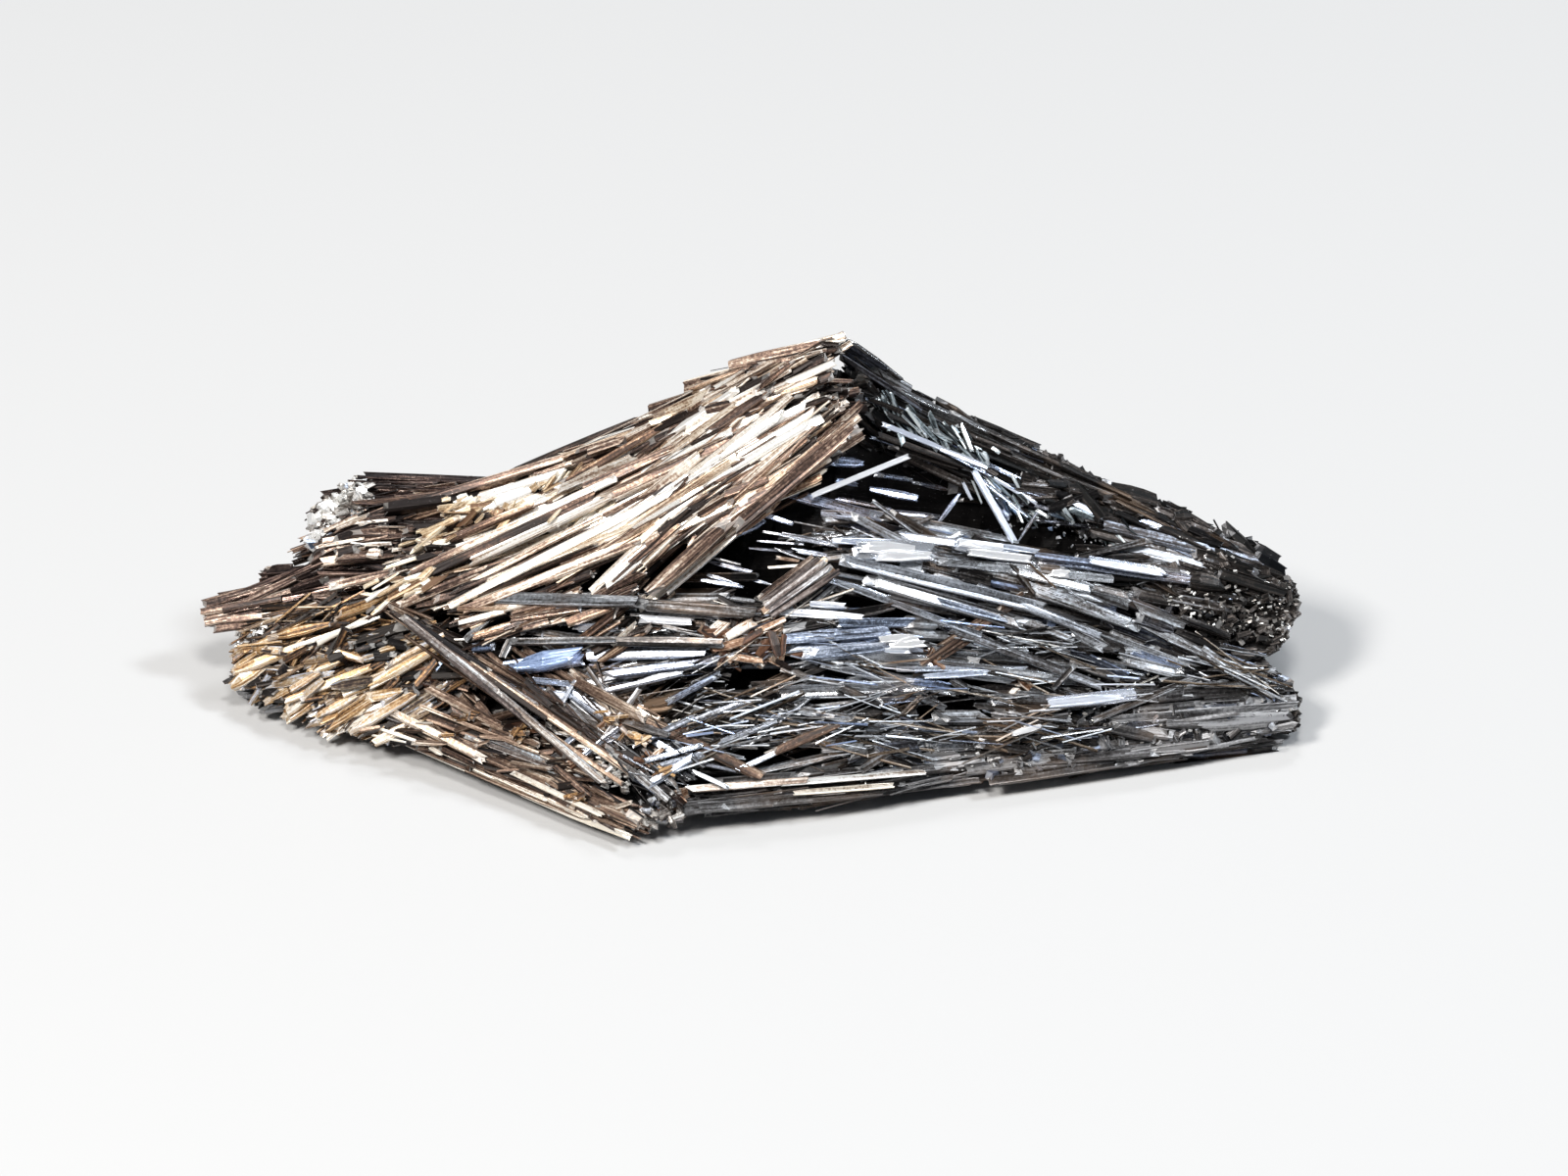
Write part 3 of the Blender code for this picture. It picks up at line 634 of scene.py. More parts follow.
def carve(laths, carving, rng):
    """Carves laths into points, quads and triangles, each with its place on the lath's skin."""
    count, corners, rings = len(laths.width), carving.corners, carving.rings
    along = laths.end - laths.start
    length = np.linalg.norm(along, axis=1)
    along = along / length[:, None]
    outward = unit(laths.facing - along * np.sum(laths.facing * along, axis=1)[:, None])
    across = np.cross(outward, along)

    stray = rng.uniform(-CORNER_STRAY, CORNER_STRAY, (count, corners))
    turn = (np.arange(corners) + 0.5 + stray) * 2 * math.pi / corners
    deep = SHALLOW_GROOVE + np.arange(corners) % 2
    grooves = 1 - carving.groove * rng.uniform(0, 1, (count, corners)) * deep
    side = np.sign(np.cos(turn)) * np.abs(np.cos(turn)) ** SQUARENESS
    rise = np.sign(np.sin(turn)) * np.abs(np.sin(turn)) ** SQUARENESS * grooves
    side, rise = side * laths.width[:, None] / 2, rise * laths.thickness[:, None] / 2

    shares = np.linspace(0, 1, rings) + np.zeros((count, rings))
    shares[:, 1:-1] += rng.uniform(-RING_STRAY, RING_STRAY, (count, rings - 2))
    swell = 1 + rng.uniform(-SWELL, SWELL, (count, rings))
    swell[:, 0] *= rng.uniform(*carving.taper, count)
    swell[:, -1] *= rng.uniform(*carving.taper, count)
    axial = np.repeat((shares * length[:, None])[:, :, None], corners, axis=2)
    room = np.minimum(laths.width * carving.splinter, length * SPLIT_LIMIT)[:, None]
    for ring, inward in ((0, 1), (-1, -1)):
        side_of_split = np.sin(turn + rng.uniform(*SPLIT_SIDE, (count, 1)))
        split = side_of_split > rng.uniform(*SPLIT_LEVEL, (count, 1))
        ragged = rng.uniform(0, 1, (count, corners)) ** 2
        axial[:, ring] += inward * room * (SPLIT_SHARE * split + (1 - SPLIT_SHARE) * ragged)
    places = (laths.start[:, None, None, :] + along[:, None, None, :] * axial[..., None]
              + across[:, None, None, :] * (side[:, None, :] * swell[:, :, None])[..., None]
              + outward[:, None, None, :] * (rise[:, None, :] * swell[:, :, None])[..., None])
    caps = np.stack((places[:, 0].mean(axis=1), places[:, -1].mean(axis=1)), axis=1)
    points = np.concatenate((places.reshape(count, -1, 3), caps), axis=1)

    step = np.arange(corners)
    after = (step + 1) % corners
    quads = np.concatenate([np.stack((r * corners + step, r * corners + after,
                                      (r + 1) * corners + after, (r + 1) * corners + step), axis=1)
                            for r in range(rings - 1)])
    first, last = rings * corners, rings * corners + 1
    top = (rings - 1) * corners
    tris = np.concatenate((np.stack((after, step, np.full(corners, first)), axis=1),
                           np.stack((top + step, top + after, np.full(corners, last)), axis=1)))
    girth = 2 * (laths.width + laths.thickness) * GIRTH
    apex = np.minimum(laths.thickness, APEX) / 2

    def skin(*places):
        """The corners of a face on a lath's skin laid flat, along it and round it, in millimetres."""
        return np.stack([np.stack(place, axis=-1) for place in places], axis=2)

    around = np.arange(corners + 1) / corners * girth[:, None]
    low, high = around[:, :-1], around[:, 1:]
    start = np.zeros((count, corners))
    levels = [(shares[:, r] * length)[:, None] + start for r in range(rings)]
    quad_skin = np.concatenate([skin((near, low), (near, high), (far, high), (far, low))
                                for near, far in zip(levels, levels[1:])], axis=1)
    middle, end = start + girth[:, None] / 2, start + length[:, None]
    before, beyond = start - apex[:, None], end + apex[:, None]
    tri_skin = np.concatenate((skin((start, high), (start, low), (before, middle)),
                               skin((end, low), (end, high), (beyond, middle))), axis=1)
    return Carved(points, quads, tris, quad_skin, tri_skin, length, girth, apex)


SKIN_GAP, SKIN_SLACK = 0.06, 1.06  # between skins, and the square's spare room


def packed_skins(length, girth, apex):
    """Lays the laths' skins side by side in rows of a square: their corners, and its side."""
    tall, wide = length + 2 * apex + SKIN_GAP, girth + SKIN_GAP
    total = math.sqrt(float((tall * wide).sum())) * SKIN_SLACK
    corner = np.zeros((len(length), 2))
    x = y = shelf = 0.0
    for number in np.argsort(-tall, kind="stable"):
        if x + wide[number] > total:
            x, y, shelf = 0.0, y + shelf, 0.0
        shelf = max(shelf, tall[number])
        corner[number] = (y + apex[number], x)
        x += wide[number]
    return corner, max(total, y + shelf)


# The outline of the ends, as they show: heights and how far right the laths reach there, heights
# and how far left, and places along the lower left edge and how far down.
RIGHT_END = (
    (-4.5, 27.6), (-2.6, 28.9), (-1.5, 29.7), (0.0, 29.9), (1.0, 29.4), (2.3, 28.0), (3.2, 29.1),
    (4.9, 30.0), (6.0, 30.0), (7.6, 28.8), (8.9, 27.5), (10.2, 25.0), (10.8, 22.6), (11.3, 20.6),
    (13.2, 17.0), (14.2, 15.0), (14.9, 31.0),
)
LEFT_END = (
    (-0.2, -27.4), (0.2, -28.2), (0.9, -28.8), (2.0, -28.2), (2.7, -28.7), (3.1, -28.6), (3.3, -27.8),
    (3.7, -28.6), (4.0, -30.3),
)
LOW_EDGE = (
    (-28.3, 0.1), (-26.6, -0.6), (-25.8, -1.5), (-24.6, -1.1), (-23.3, -2.2), (-22.0, -1.6),
    (-20.4, -2.4), (-18.4, -2.4), (-16.9, -2.9), (-15.1, -3.9), (-14.6, -9.0),
)
STOP_STEPS, STOP_STEP = 14, 0.1  # how often an end steps back, by this share of its lath
SHORTEST = 0.05
FOOT_SPREAD = ((-6.0, 1.7), (-3.0, 1.1))  # x, and how far a lath may stand out from the foot there
CREST_RISE = 1.15  # how far a lath may stand above the crest


def between(x, points):
    """The height of a line through these points."""
    return np.interp(x, *zip(*points))


def stopped(laths):
    """The laths, each shortened a step at a time from an end that passes the outline."""
    ends = (laths.start.copy(), laths.end.copy())
    for near, far in (ends, ends[::-1]):
        for _ in range(STOP_STEPS):
            x, shown = near[:, 0], height_shown(near)
            past = (x > between(shown, RIGHT_END)) | (x < between(shown, LEFT_END))
            past |= (shown < between(x, LOW_EDGE)) | (near[:, 2] > station(x, CREST_Z) + CREST_RISE)
            spread = between(x, FOOT_SPREAD)
            past |= near[:, 1] < station(x, FRONT_FOOT) - spread
            past |= near[:, 1] > station(x, BACK_FOOT) + spread
            near += (far - near) * (past * STOP_STEP)[:, None]
        ends[0][past], ends[1][past] = 0.0, 0.0
    keep = np.linalg.norm(ends[1] - ends[0], axis=1) > SHORTEST
    return Laths(*(column[keep] for column in laths._replace(start=ends[0], end=ends[1])))


SKIN_OFFSET = 90  # each lath's streaks start somewhere else in their pattern


def lath_piece(name, kinds, material):
    """Makes one piece from groups of laths, each with its own carving."""
    rng = np.random.default_rng(list(name.encode()))
    kinds = [(stopped(laths), carving) for laths, carving in kinds]
    carved = [carve(laths, carving, rng) for laths, carving in kinds]
    sizes = [(made.length, made.girth, made.apex) for made in carved]
    corner, side = packed_skins(*(np.concatenate(column) for column in zip(*sizes)))
    points, loops, totals, skins, bakes, tints, breaks = [], [], [], [], [], [], []
    base = begin = 0
    for (laths, _), made in zip(kinds, carved):
        count, each = made.points.shape[:2]
        starts = base + np.arange(count)[:, None, None] * each
        island = corner[begin:begin + count, None, None, :]
        offset = rng.uniform(0, SKIN_OFFSET, (count, 1, 1, 2))
        for index, skin in ((made.quads, made.quad_skin), (made.tris, made.tri_skin)):
            loops.append((index[None] + starts).ravel())
            totals.append(np.full(count * len(index), index.shape[1]))
            skins.append((skin + offset).reshape(-1, 2))
            bakes.append(((skin + island) / side).reshape(-1, 2))
            breaks.append(np.full(count * len(index), float(index.shape[1] == 3)))
        points.append(made.points.reshape(-1, 3))
        tint = np.stack((laths.shade, laths.gloss, laths.blue, np.ones(count)), axis=1)
        tints.append(np.repeat(tint, each, axis=0))
        base += count * each
        begin += count
    points = np.concatenate(points)
    points[:, 2] = np.maximum(points[:, 2], 0.0)
    loops, totals = np.concatenate(loops), np.concatenate(totals)
    mesh = bpy.data.meshes.new(name)
    mesh.vertices.add(len(points))
    mesh.vertices.foreach_set("co", ((points - CENTRE) * MM).astype(np.float32).ravel())
    mesh.loops.add(len(loops))
    mesh.loops.foreach_set("vertex_index", loops.astype(np.int32))
    mesh.polygons.add(len(totals))
    mesh.polygons.foreach_set("loop_start", (np.cumsum(totals) - totals).astype(np.int32))
    # The skin places the streaks. The other layout keeps every face apart, for baking.
    for layer, values in (("skin", skins), ("OFBake", bakes)):
        uv = mesh.uv_layers.new(name=layer)
        uv.uv.foreach_set("vector", np.concatenate(values).astype(np.float32).ravel())
    tint = mesh.attributes.new("tint", "FLOAT_COLOR", "POINT")
    tint.data.foreach_set("color", np.concatenate(tints).astype(np.float32).ravel())
    broken = mesh.attributes.new("broken", "FLOAT", "FACE")
    broken.data.foreach_set("value", np.concatenate(breaks).astype(np.float32))
    mesh.update(calc_edges=True)
    mesh.validate()
    mesh.shade_flat()
    finish_piece(mesh, name, material)


def laid_piece(name, rows, material, carving=BROAD):
    """Makes one piece from single laths."""
    lath_piece(name, [(single_laths(rows), carving)], material)


def grain_piece(name, groups, material):
    """Makes one piece from groups of grains, each with its name, number, spans and look."""
    lath_piece(name, [(grains(*group), GRAIN) for group in groups], material)


FAN = (
    Sheaf("fan_crest", (-16.0, 0.875), (5.4, 0.96), (2.8, 3.2), 7, (1.1, 1.9), (0.45, 0.9), 0.1),
    Sheaf("fan_middle", (-19.0, 0.66), (5.0, 0.92), (4.6, 3.6), 9, (1.0, 1.9), (0.45, 0.95), 1.0),
    Sheaf("fan_front", (-16.5, 0.46), (4.8, 0.80), (3.6, 3.2), 8, (1.0, 1.7), (0.5, 0.95), 1.0),
    Sheaf("fan_tips", (-9.5, 0.42), (1.5, 0.72), (3.8, 3.0), 3, (1.0, 1.3), (0.8, 1.0), 0.7),
)
# The fan's tones: browns of the tarnish, and at the pale end cream and white that are partly painted
# highlight.
FAN_TARNISH_AND_HIGHLIGHT_TONES = (
    (0.10, (0.014, 0.009, 0.008)),
    (0.32, (0.083, 0.052, 0.041)),
    (0.44, (0.205, 0.126, 0.096)),
    (0.56, (0.44, 0.32, 0.235)),
    (0.70, (0.80, 0.72, 0.62)),
    (0.86, (0.98, 0.96, 0.92)),
)
FAN_LOOK = Look((0.1, 0.85), 0.9, 0.45)
FAN_LOOKS = {"fan_crest": Look((0.0, 0.7), 0.8, 0.45), "fan_front": Look((0.15, 0.92), 0.9, 0.45)}
FAN_CHIPS = Size(2.4, (1.0, 4.2), (0.2, 0.65), (0.2, 0.85))
FAN_LATHS = Size(2.4, (3, 10), (0.2, 0.55), (-0.8, 0.5))
FAN_NEEDLES = Size(3.2, (2, 8), (0.08, 0.18), (-0.5, 0.6))
CREST_TURN = -7.0
FAN_TRIM = 0.45
LOBE_SHADOW = ((-14.2, 3.2), (6.0, 1.4))  # the fan is dark left of this x and above this height
WARM = (1.0, 0.88, 0.73)  # some laths are tinted yellower than the others
brown_tarnish = lath_metal(
    "brown_tarnish", FAN_TARNISH_AND_HIGHLIGHT_TONES, metallic=0.5, roughness=0.44,
    cool=WARM, break_and_glint_colour=(0.95, 0.92, 0.88), shadow=LOBE_SHADOW,
)
root_tarnish = lath_metal(
    "root_tarnish", FAN_TARNISH_AND_HIGHLIGHT_TONES, metallic=0.5, roughness=0.46,
    cool=WARM, break_and_glint_colour=(0.95, 0.92, 0.88),
)
for sheaf in FAN:
    turn = CREST_TURN if sheaf.name == "fan_crest" else 0.0
    look = FAN_LOOKS.get(sheaf.name, FAN_LOOK)
    groups = grown(sheaf, look, FAN_LATHS, FAN_NEEDLES, blades=4, stray=4.0, turn=turn, trim=FAN_TRIM)
    groups.append((strewn_laths(sheaf, FAN_CHIPS, look, stray=7.5, turn=turn), MIDDLING))
    if sheaf.name != "fan_crest":
        groups[0] = (clear_of_clefts(groups[0][0]), BROAD)
    lath_piece(sheaf.name, groups, brown_tarnish)

# Steeper laths over the lower right of the fan, where it spreads.
FAN_RISE = (
    Sheaf("fan_rise_left", (-16.0, 0.57), (2.0, 0.88), (3.4, 3.0), 0, (), (), 1.3),
    Sheaf("fan_rise_middle", (-10.8, 0.57), (4.6, 0.90), (3.0, 3.0), 0, (), (), 1.4),
    Sheaf("fan_rise_right", (-6.4, 0.55), (5.2, 0.84), (2.4, 2.4), 0, (), (), 1.2),
)
RISE_LATHS = Size(1.5, (3, 9), (0.25, 0.7), (-0.3, 0.45))
RISE_NEEDLES = Size(2.2, (2, 8), (0.08, 0.2), (-0.2, 0.6))
for sheaf in FAN_RISE:
    groups = [(strewn_laths(sheaf, RISE_LATHS, FAN_LOOK, stray=3.5), BROAD),
              (strewn_laths(sheaf, RISE_NEEDLES, FAN_LOOK, stray=5.0), NEEDLE)]
    lath_piece(sheaf.name, groups, brown_tarnish)

# The clearest ribs of the fan, and the ones that stand over the hollow at its lower tips.
# Rows of shade 1 and above are painted pale, as highlights.
FAN_RIBS = (
    ((-11.3, 5.9), (-6.6, 9.9), 1.5, 0.6, 0.8, 0.5, 0),
    ((-10.6, 5.8), (-5.9, 9.6), 1.3, 0.5, 0.5, 0.5, 0),
    ((-8.0, 5.9), (-3.2, 10.4), 1.5, 0.55, 0.65, 0.5, 0),
    ((-4.8, 5.8), (-0.3, 10.0), 1.9, 0.85, 0.34, 0.4, 0),
    ((-0.5, 9.2), (5.1, 14.8), 2.0, 0.8, 0.28, 0.4, 0),
    ((2.6, 12.2), (5.2, 15.4), 2.1, 0.45, 0.4, 0.4, 0),
    ((-4.1, 5.9), (-0.2, 9.3), 1.2, 0.4, 0.7, 0.4, 0),
    ((-1.1, 9.1), (2.2, 11.5), 1.4, 0.8, 0.42, 0.3, 0),
    ((-16.5, 5.9), (-8.2, 9.0), 1.5, 0.8, 0.28, 0.3, 0),
    ((-10.9, 7.5), (-1.6, 13.5), 1.7, 0.7, 0.9, 0.7, 0),
    ((-7.4, 6.1), (1.3, 13.3), 1.5, 0.75, 0.9, 0.7, 0),
    ((2.5, 11.6), (5.4, 15.1), 0.9, 1, 0.25, 0.3, 0),
    ((3.3, 13.1), (5.5, 16.1), 1.1, 0.7, 0.35, 0.4, 0),
    ((-4.0, 10.4), (4.4, 15.5), 1.8, 0.9, 0.9, 0.7, 0),
    ((-14.1, 8.3), (-6.6, 11.2), 1.6, 0.6, 0.85, 0.6, 0),
    ((-13.0, 7.0), (-3.5, 11.5), 1.8, 0.4, 0.35, 0.4, 0),
    ((-6.2, 8.6), (1.9, 14.1), 1.7, 0.35, 0.3, 0.4, 0),
    ((-15.7, 9.1), (-8.8, 11.2), 1.5, 0.8, 0.8, 0.5, 0),
    ((-10.9, 10.4), (-0.3, 15.2), 1.5, 0.5, 0.85, 0.6, 0),
    ((-6.6, 13.1), (1.9, 16.5), 1.4, 0.6, 0.75, 0.6, 0),
    ((-19.4, 5.0), (-10.9, 8.3), 1.5, 0.5, 0.6, 0.4, 0),
    ((-22.6, 6.2), (-19.4, 7.0), 1.2, 0.5, 0.62, 0.4, 0),
    ((-19.8, 6.9), (-16.4, 8.1), 1.3, 0.5, 0.8, 0.4, 0),
    ((-17.1, 8.8), (-14.4, 10.0), 1.3, 0.6, 1.0, 0.5, 0),
    ((-14.9, 11.0), (-11.6, 11.8), 1.7, 0.6, 1.2, 0.6, 0),
    ((-14.4, 10.5), (-11.0, 11.5), 1.9, 0.6, 1.2, 0.6, 0),
    ((-14.0, 9.9), (-9.8, 11.2), 1.9, 0.5, 1.1, 0.6, 0),
    ((-14.9, 9.7), (-12.2, 10.4), 2.0, 0.5, 1.0, 0.5, 0),
    ((-15.6, 8.7), (-12.6, 9.5), 2.0, 0.5, 0.8, 0.5, 0),
    ((-12.6, 11.5), (-9.3, 12.5), 1.7, 0.5, 1.1, 0.6, 0),
    ((-12.9, 9.6), (-9.9, 10.7), 2.1, 0.35, 0.7, 0.5, 0),
    ((-6.0, 9.9), (-0.8, 13.2), 2.0, 0.5, 1.2, 0.7, 0),
    ((-2.6, 12.0), (2.6, 15.6), 1.9, 0.55, 1.2, 0.7, 0),
    ((-8.0, 8.5), (-4.2, 10.8), 2.0, 0.5, 1.1, 0.7, 0),
    ((0.2, 14.2), (4.0, 16.2), 1.6, 0.5, 1.1, 0.7, 0),
    ((-5.0, 12.4), (-0.2, 14.6), 1.9, 0.45, 1.1, 0.7, 0),
    ((-8.9, 12.2), (-4.7, 13.6), 1.3, 0.5, 1.0, 0.6, 0),
)
laid_piece("fan_ribs", FAN_RIBS, brown_tarnish)

# The blunt left ends of the topmost laths, which make steps up to the peak.
FAN_STEPS = (
    ((-15.1, 11.5), (-11.2, 12.5), 1.7, 0.5, 1.1, 0.5, 0.3),
    ((-13.4, 12.2), (-9.6, 13.1), 1.5, 0.45, 0.95, 0.5, 0.3),
    ((-15.4, 11.5), (-11.0, 12.3), 0.3, 0.7, 0.75, 0.5, 0),
    ((-12.8, 12.1), (-8.3, 13.2), 0.4, 0.7, 0.6, 0.4, 0),
    ((-11.2, 12.8), (-6.4, 14.4), 0.4, 0.8, 0.35, 0.4, 0),
    ((-7.4, 14.3), (-2.1, 16.0), 0.4, 0.8, 0.85, 0.5, 0),
    ((-5.2, 15.8), (0.1, 17.4), 0.4, 0.8, 0.3, 0.4, 0),
    ((-3.3, 17.0), (1.7, 18.3), 0.4, 0.8, 0.55, 0.5, 0),
    ((-1.0, 18.2), (4.2, 19.3), 0.3, 0.7, 0.35, 0.4, 0),
    ((1.7, 18.8), (5.1, 19.7), 0.3, 0.6, 0.7, 0.5, 0),
    ((2.2, 18.3), (5.3, 20.0), 0.4, 0.5, 0.35, 0.4, 0),
    ((3.0, 17.6), (5.4, 19.6), 0.7, 0.4, 0.6, 0.4, 0),
    ((-9.2, 13.6), (-4.8, 15.1), 0.6, 0.6, 0.9, 0.6, 0),
    ((-6.2, 14.9), (-2.3, 16.2), 0.7, 0.5, 0.6, 0.5, 0),
    ((-13.9, 11.3), (-9.6, 12.5), 0.6, 0.6, 0.95, 0.6, 0),
    ((-2.4, 16.9), (2.4, 18.1), 0.7, 0.6, 0.8, 0.5, 0),
)
STEP_CARVING = BROAD._replace(splinter=0.4)
laid_piece("fan_steps", FAN_STEPS, brown_tarnish, STEP_CARVING)

# The root of the fan, between the lobe and the tongue: short mottled laths, closely packed.
FAN_ROOT = Sheaf("fan_root", (-24.0, 0.84), (-12.5, 0.74), (2.0, 2.8), 0, (), (), 0.9)
ROOT_LATHS = Size(3.2, (0.8, 3.5), (0.25, 0.8), (-0.9, 0.2))
ROOT_CHIPS = Size(3.5, (0.5, 2.5), (0.1, 0.3), (-0.6, 0.35))
lath_piece("fan_root", [
    (strewn_laths(FAN_ROOT, ROOT_LATHS, Look((0.1, 0.75), 0.7, 0.0), stray=9.0, turn=8.0), MIDDLING),
    (strewn_laths(FAN_ROOT, ROOT_CHIPS, Look((0.1, 0.85), 0.7, 0.0), stray=14.0, turn=8.0), MIDDLING),
], root_tarnish)


# ---------------------------------------------------------------------------------------------
# The left lobe and the tongue. Two short sheaves stick out of the cluster's left end, dark brown
# along their length. Both snapped off square, and their clean broken ends are pale and sparkle.
LEFT_LOBE = (
    Sheaf("left_lobe", (-24.4, 1.08), (-13.0, 0.94), (2.4, 2.6), 5, (1.2, 1.7), (0.8, 1.0), -0.2),
    Sheaf("lobe_under", (-23.4, 1.02), (-14.0, 0.90), (2.0, 2.4), 3, (1.2, 1.6), (0.8, 1.0), -1.4),
    Sheaf("left_tongue", (-30.0, 0.80), (-17.5, 0.60), (0.9, 3.8), 6, (1.2, 1.7), (0.7, 1.0), 0.1),
)
LOBE_TONES = (
    (0.15, (0.009, 0.006, 0.006)),
    (0.42, (0.045, 0.028, 0.024)),
    (0.62, (0.16, 0.10, 0.08)),
    (0.80, (0.45, 0.34, 0.27)),
    (0.95, (0.80, 0.74, 0.66)),
)
LOBE_LOOK = Look((0.15, 0.66), 0.8, 0.0)
LOBE_LATHS = Size(3.0, (2.5, 7), (0.2, 0.6), (-0.7, 0.35))
LOBE_NEEDLES = Size(3.0, (2, 6), (0.08, 0.18), (-0.5, 0.4))
dark_brown = lath_metal(
    "dark_brown", LOBE_TONES, metallic=0.7, roughness=0.36,
    break_and_glint_colour=(0.86, 0.82, 0.76),
)
for sheaf in LEFT_LOBE:
    groups = grown(sheaf, LOBE_LOOK, LOBE_LATHS, LOBE_NEEDLES, blades=4, stray=3.0)
    lath_piece(sheaf.name, groups, dark_brown)

# The grains on the broken ends: how many, their x, share up the face, lift, length and look.
BREAK_AND_GLINT_TONES = (
    (0.20, (0.05, 0.042, 0.038)),
    (0.45, (0.36, 0.32, 0.29)),
    (0.65, (0.80, 0.78, 0.74)),
    (0.85, (0.96, 0.96, 0.95)),
)
# Tones for the grains on the broken ends, pale as fresh breaks, and for grains painted pale as glints.
broken_metal = lath_metal("broken_metal", BREAK_AND_GLINT_TONES, metallic=0.55, roughness=0.3)
SPARKLE = Look((0.3, 1.0), 1.0, 0.05)
grain_piece("lobe_break", [
    ("lobe_break", 240, (-24.2, -20.8), (0.96, 1.12), (-1.1, 0.25), (0.3, 1.0), SPARKLE),
], broken_metal)
grain_piece("tongue_break", [
    ("tongue_side", 90, (-28.0, -25.6), (0.34, 0.52), (0.1, 0.9), (0.2, 0.55), SPARKLE),
], broken_metal)
TIP_LATHS = (
    ((-30.0, 5.2), (-27.5, 5.9), 0.4, 0.6, 0.4, 0.3, 0),
    ((-30.1, 4.8), (-27.2, 5.3), 0.5, 0.5, 0.55, 0.3, 0),
    ((-29.9, 4.3), (-27.7, 4.7), 0.5, 0.6, 0.45, 0.3, 0),
    ((-29.4, 3.9), (-26.6, 4.3), 0.4, 0.5, 0.35, 0.3, 0),
    ((-28.9, 5.0), (-25.4, 5.6), 0.7, 0.35, 0.3, 0.3, 0),
    ((-28.6, 4.4), (-25.8, 4.7), 0.7, 0.35, 0.5, 0.3, 0),
)
laid_piece("tongue_tip", TIP_LATHS, root_tarnish, BROAD._replace(splinter=0.5))


# ---------------------------------------------------------------------------------------------
# The ochre end. The lower left of the cluster weathered to ochre and gold, with grey metal where
# it wore off again. Its laths are short stubs that splay out to the left and end in pale spikes.
OCHRE = (
    Sheaf("ochre_top", (-28.6, 0.44), (-16.0, 0.42), (1.8, 3.0), 5, (1.0, 1.5), (0.45, 0.8), 0.4),
    Sheaf("ochre_middle", (-28.6, 0.12), (-16.0, 0.30), (2.0, 3.4), 6, (1.0, 1.5), (0.4, 0.7), 0.5),
    Sheaf("ochre_spikes", (-24.2, -0.2), (-15.5, 0.42), (5.6, 3.6), 7, (0.9, 1.3), (0.75, 1.0), 0.4),
)
OCHRE_TONES = (
    (0.18, (0.012, 0.008, 0.006)),
    (0.36, (0.10, 0.052, 0.028)),
    (0.50, (0.29, 0.150, 0.060)),
    (0.62, (0.50, 0.31, 0.135)),
    (0.76, (0.64, 0.51, 0.36)),
    (0.95, (0.95, 0.91, 0.84)),
)
ochre_metal = lath_metal(
    "ochre_metal", OCHRE_TONES, metallic=0.42, roughness=0.46,
    cool=(0.6, 0.85, 1.45), break_and_glint_colour=(0.95, 0.92, 0.88),
)
OCHRE_LOOK = Look((-0.05, 0.68), 0.8, 0.3)
OCHRE_TURNS = {"ochre_top": 20.0, "ochre_middle": 16.0, "ochre_spikes": 0.0}
STUBS = Size(2.4, (1.2, 4.5), (0.25, 0.75), (-0.8, 0.6))
SPLINTERS = Size(2.6, (0.8, 4), (0.1, 0.22), (-0.4, 0.7))
for sheaf in OCHRE:
    turn = OCHRE_TURNS[sheaf.name]
    groups = grown(sheaf, OCHRE_LOOK, STUBS, SPLINTERS, blades=3, stray=10.0, turn=turn)
    lath_piece(sheaf.name, groups, ochre_metal)
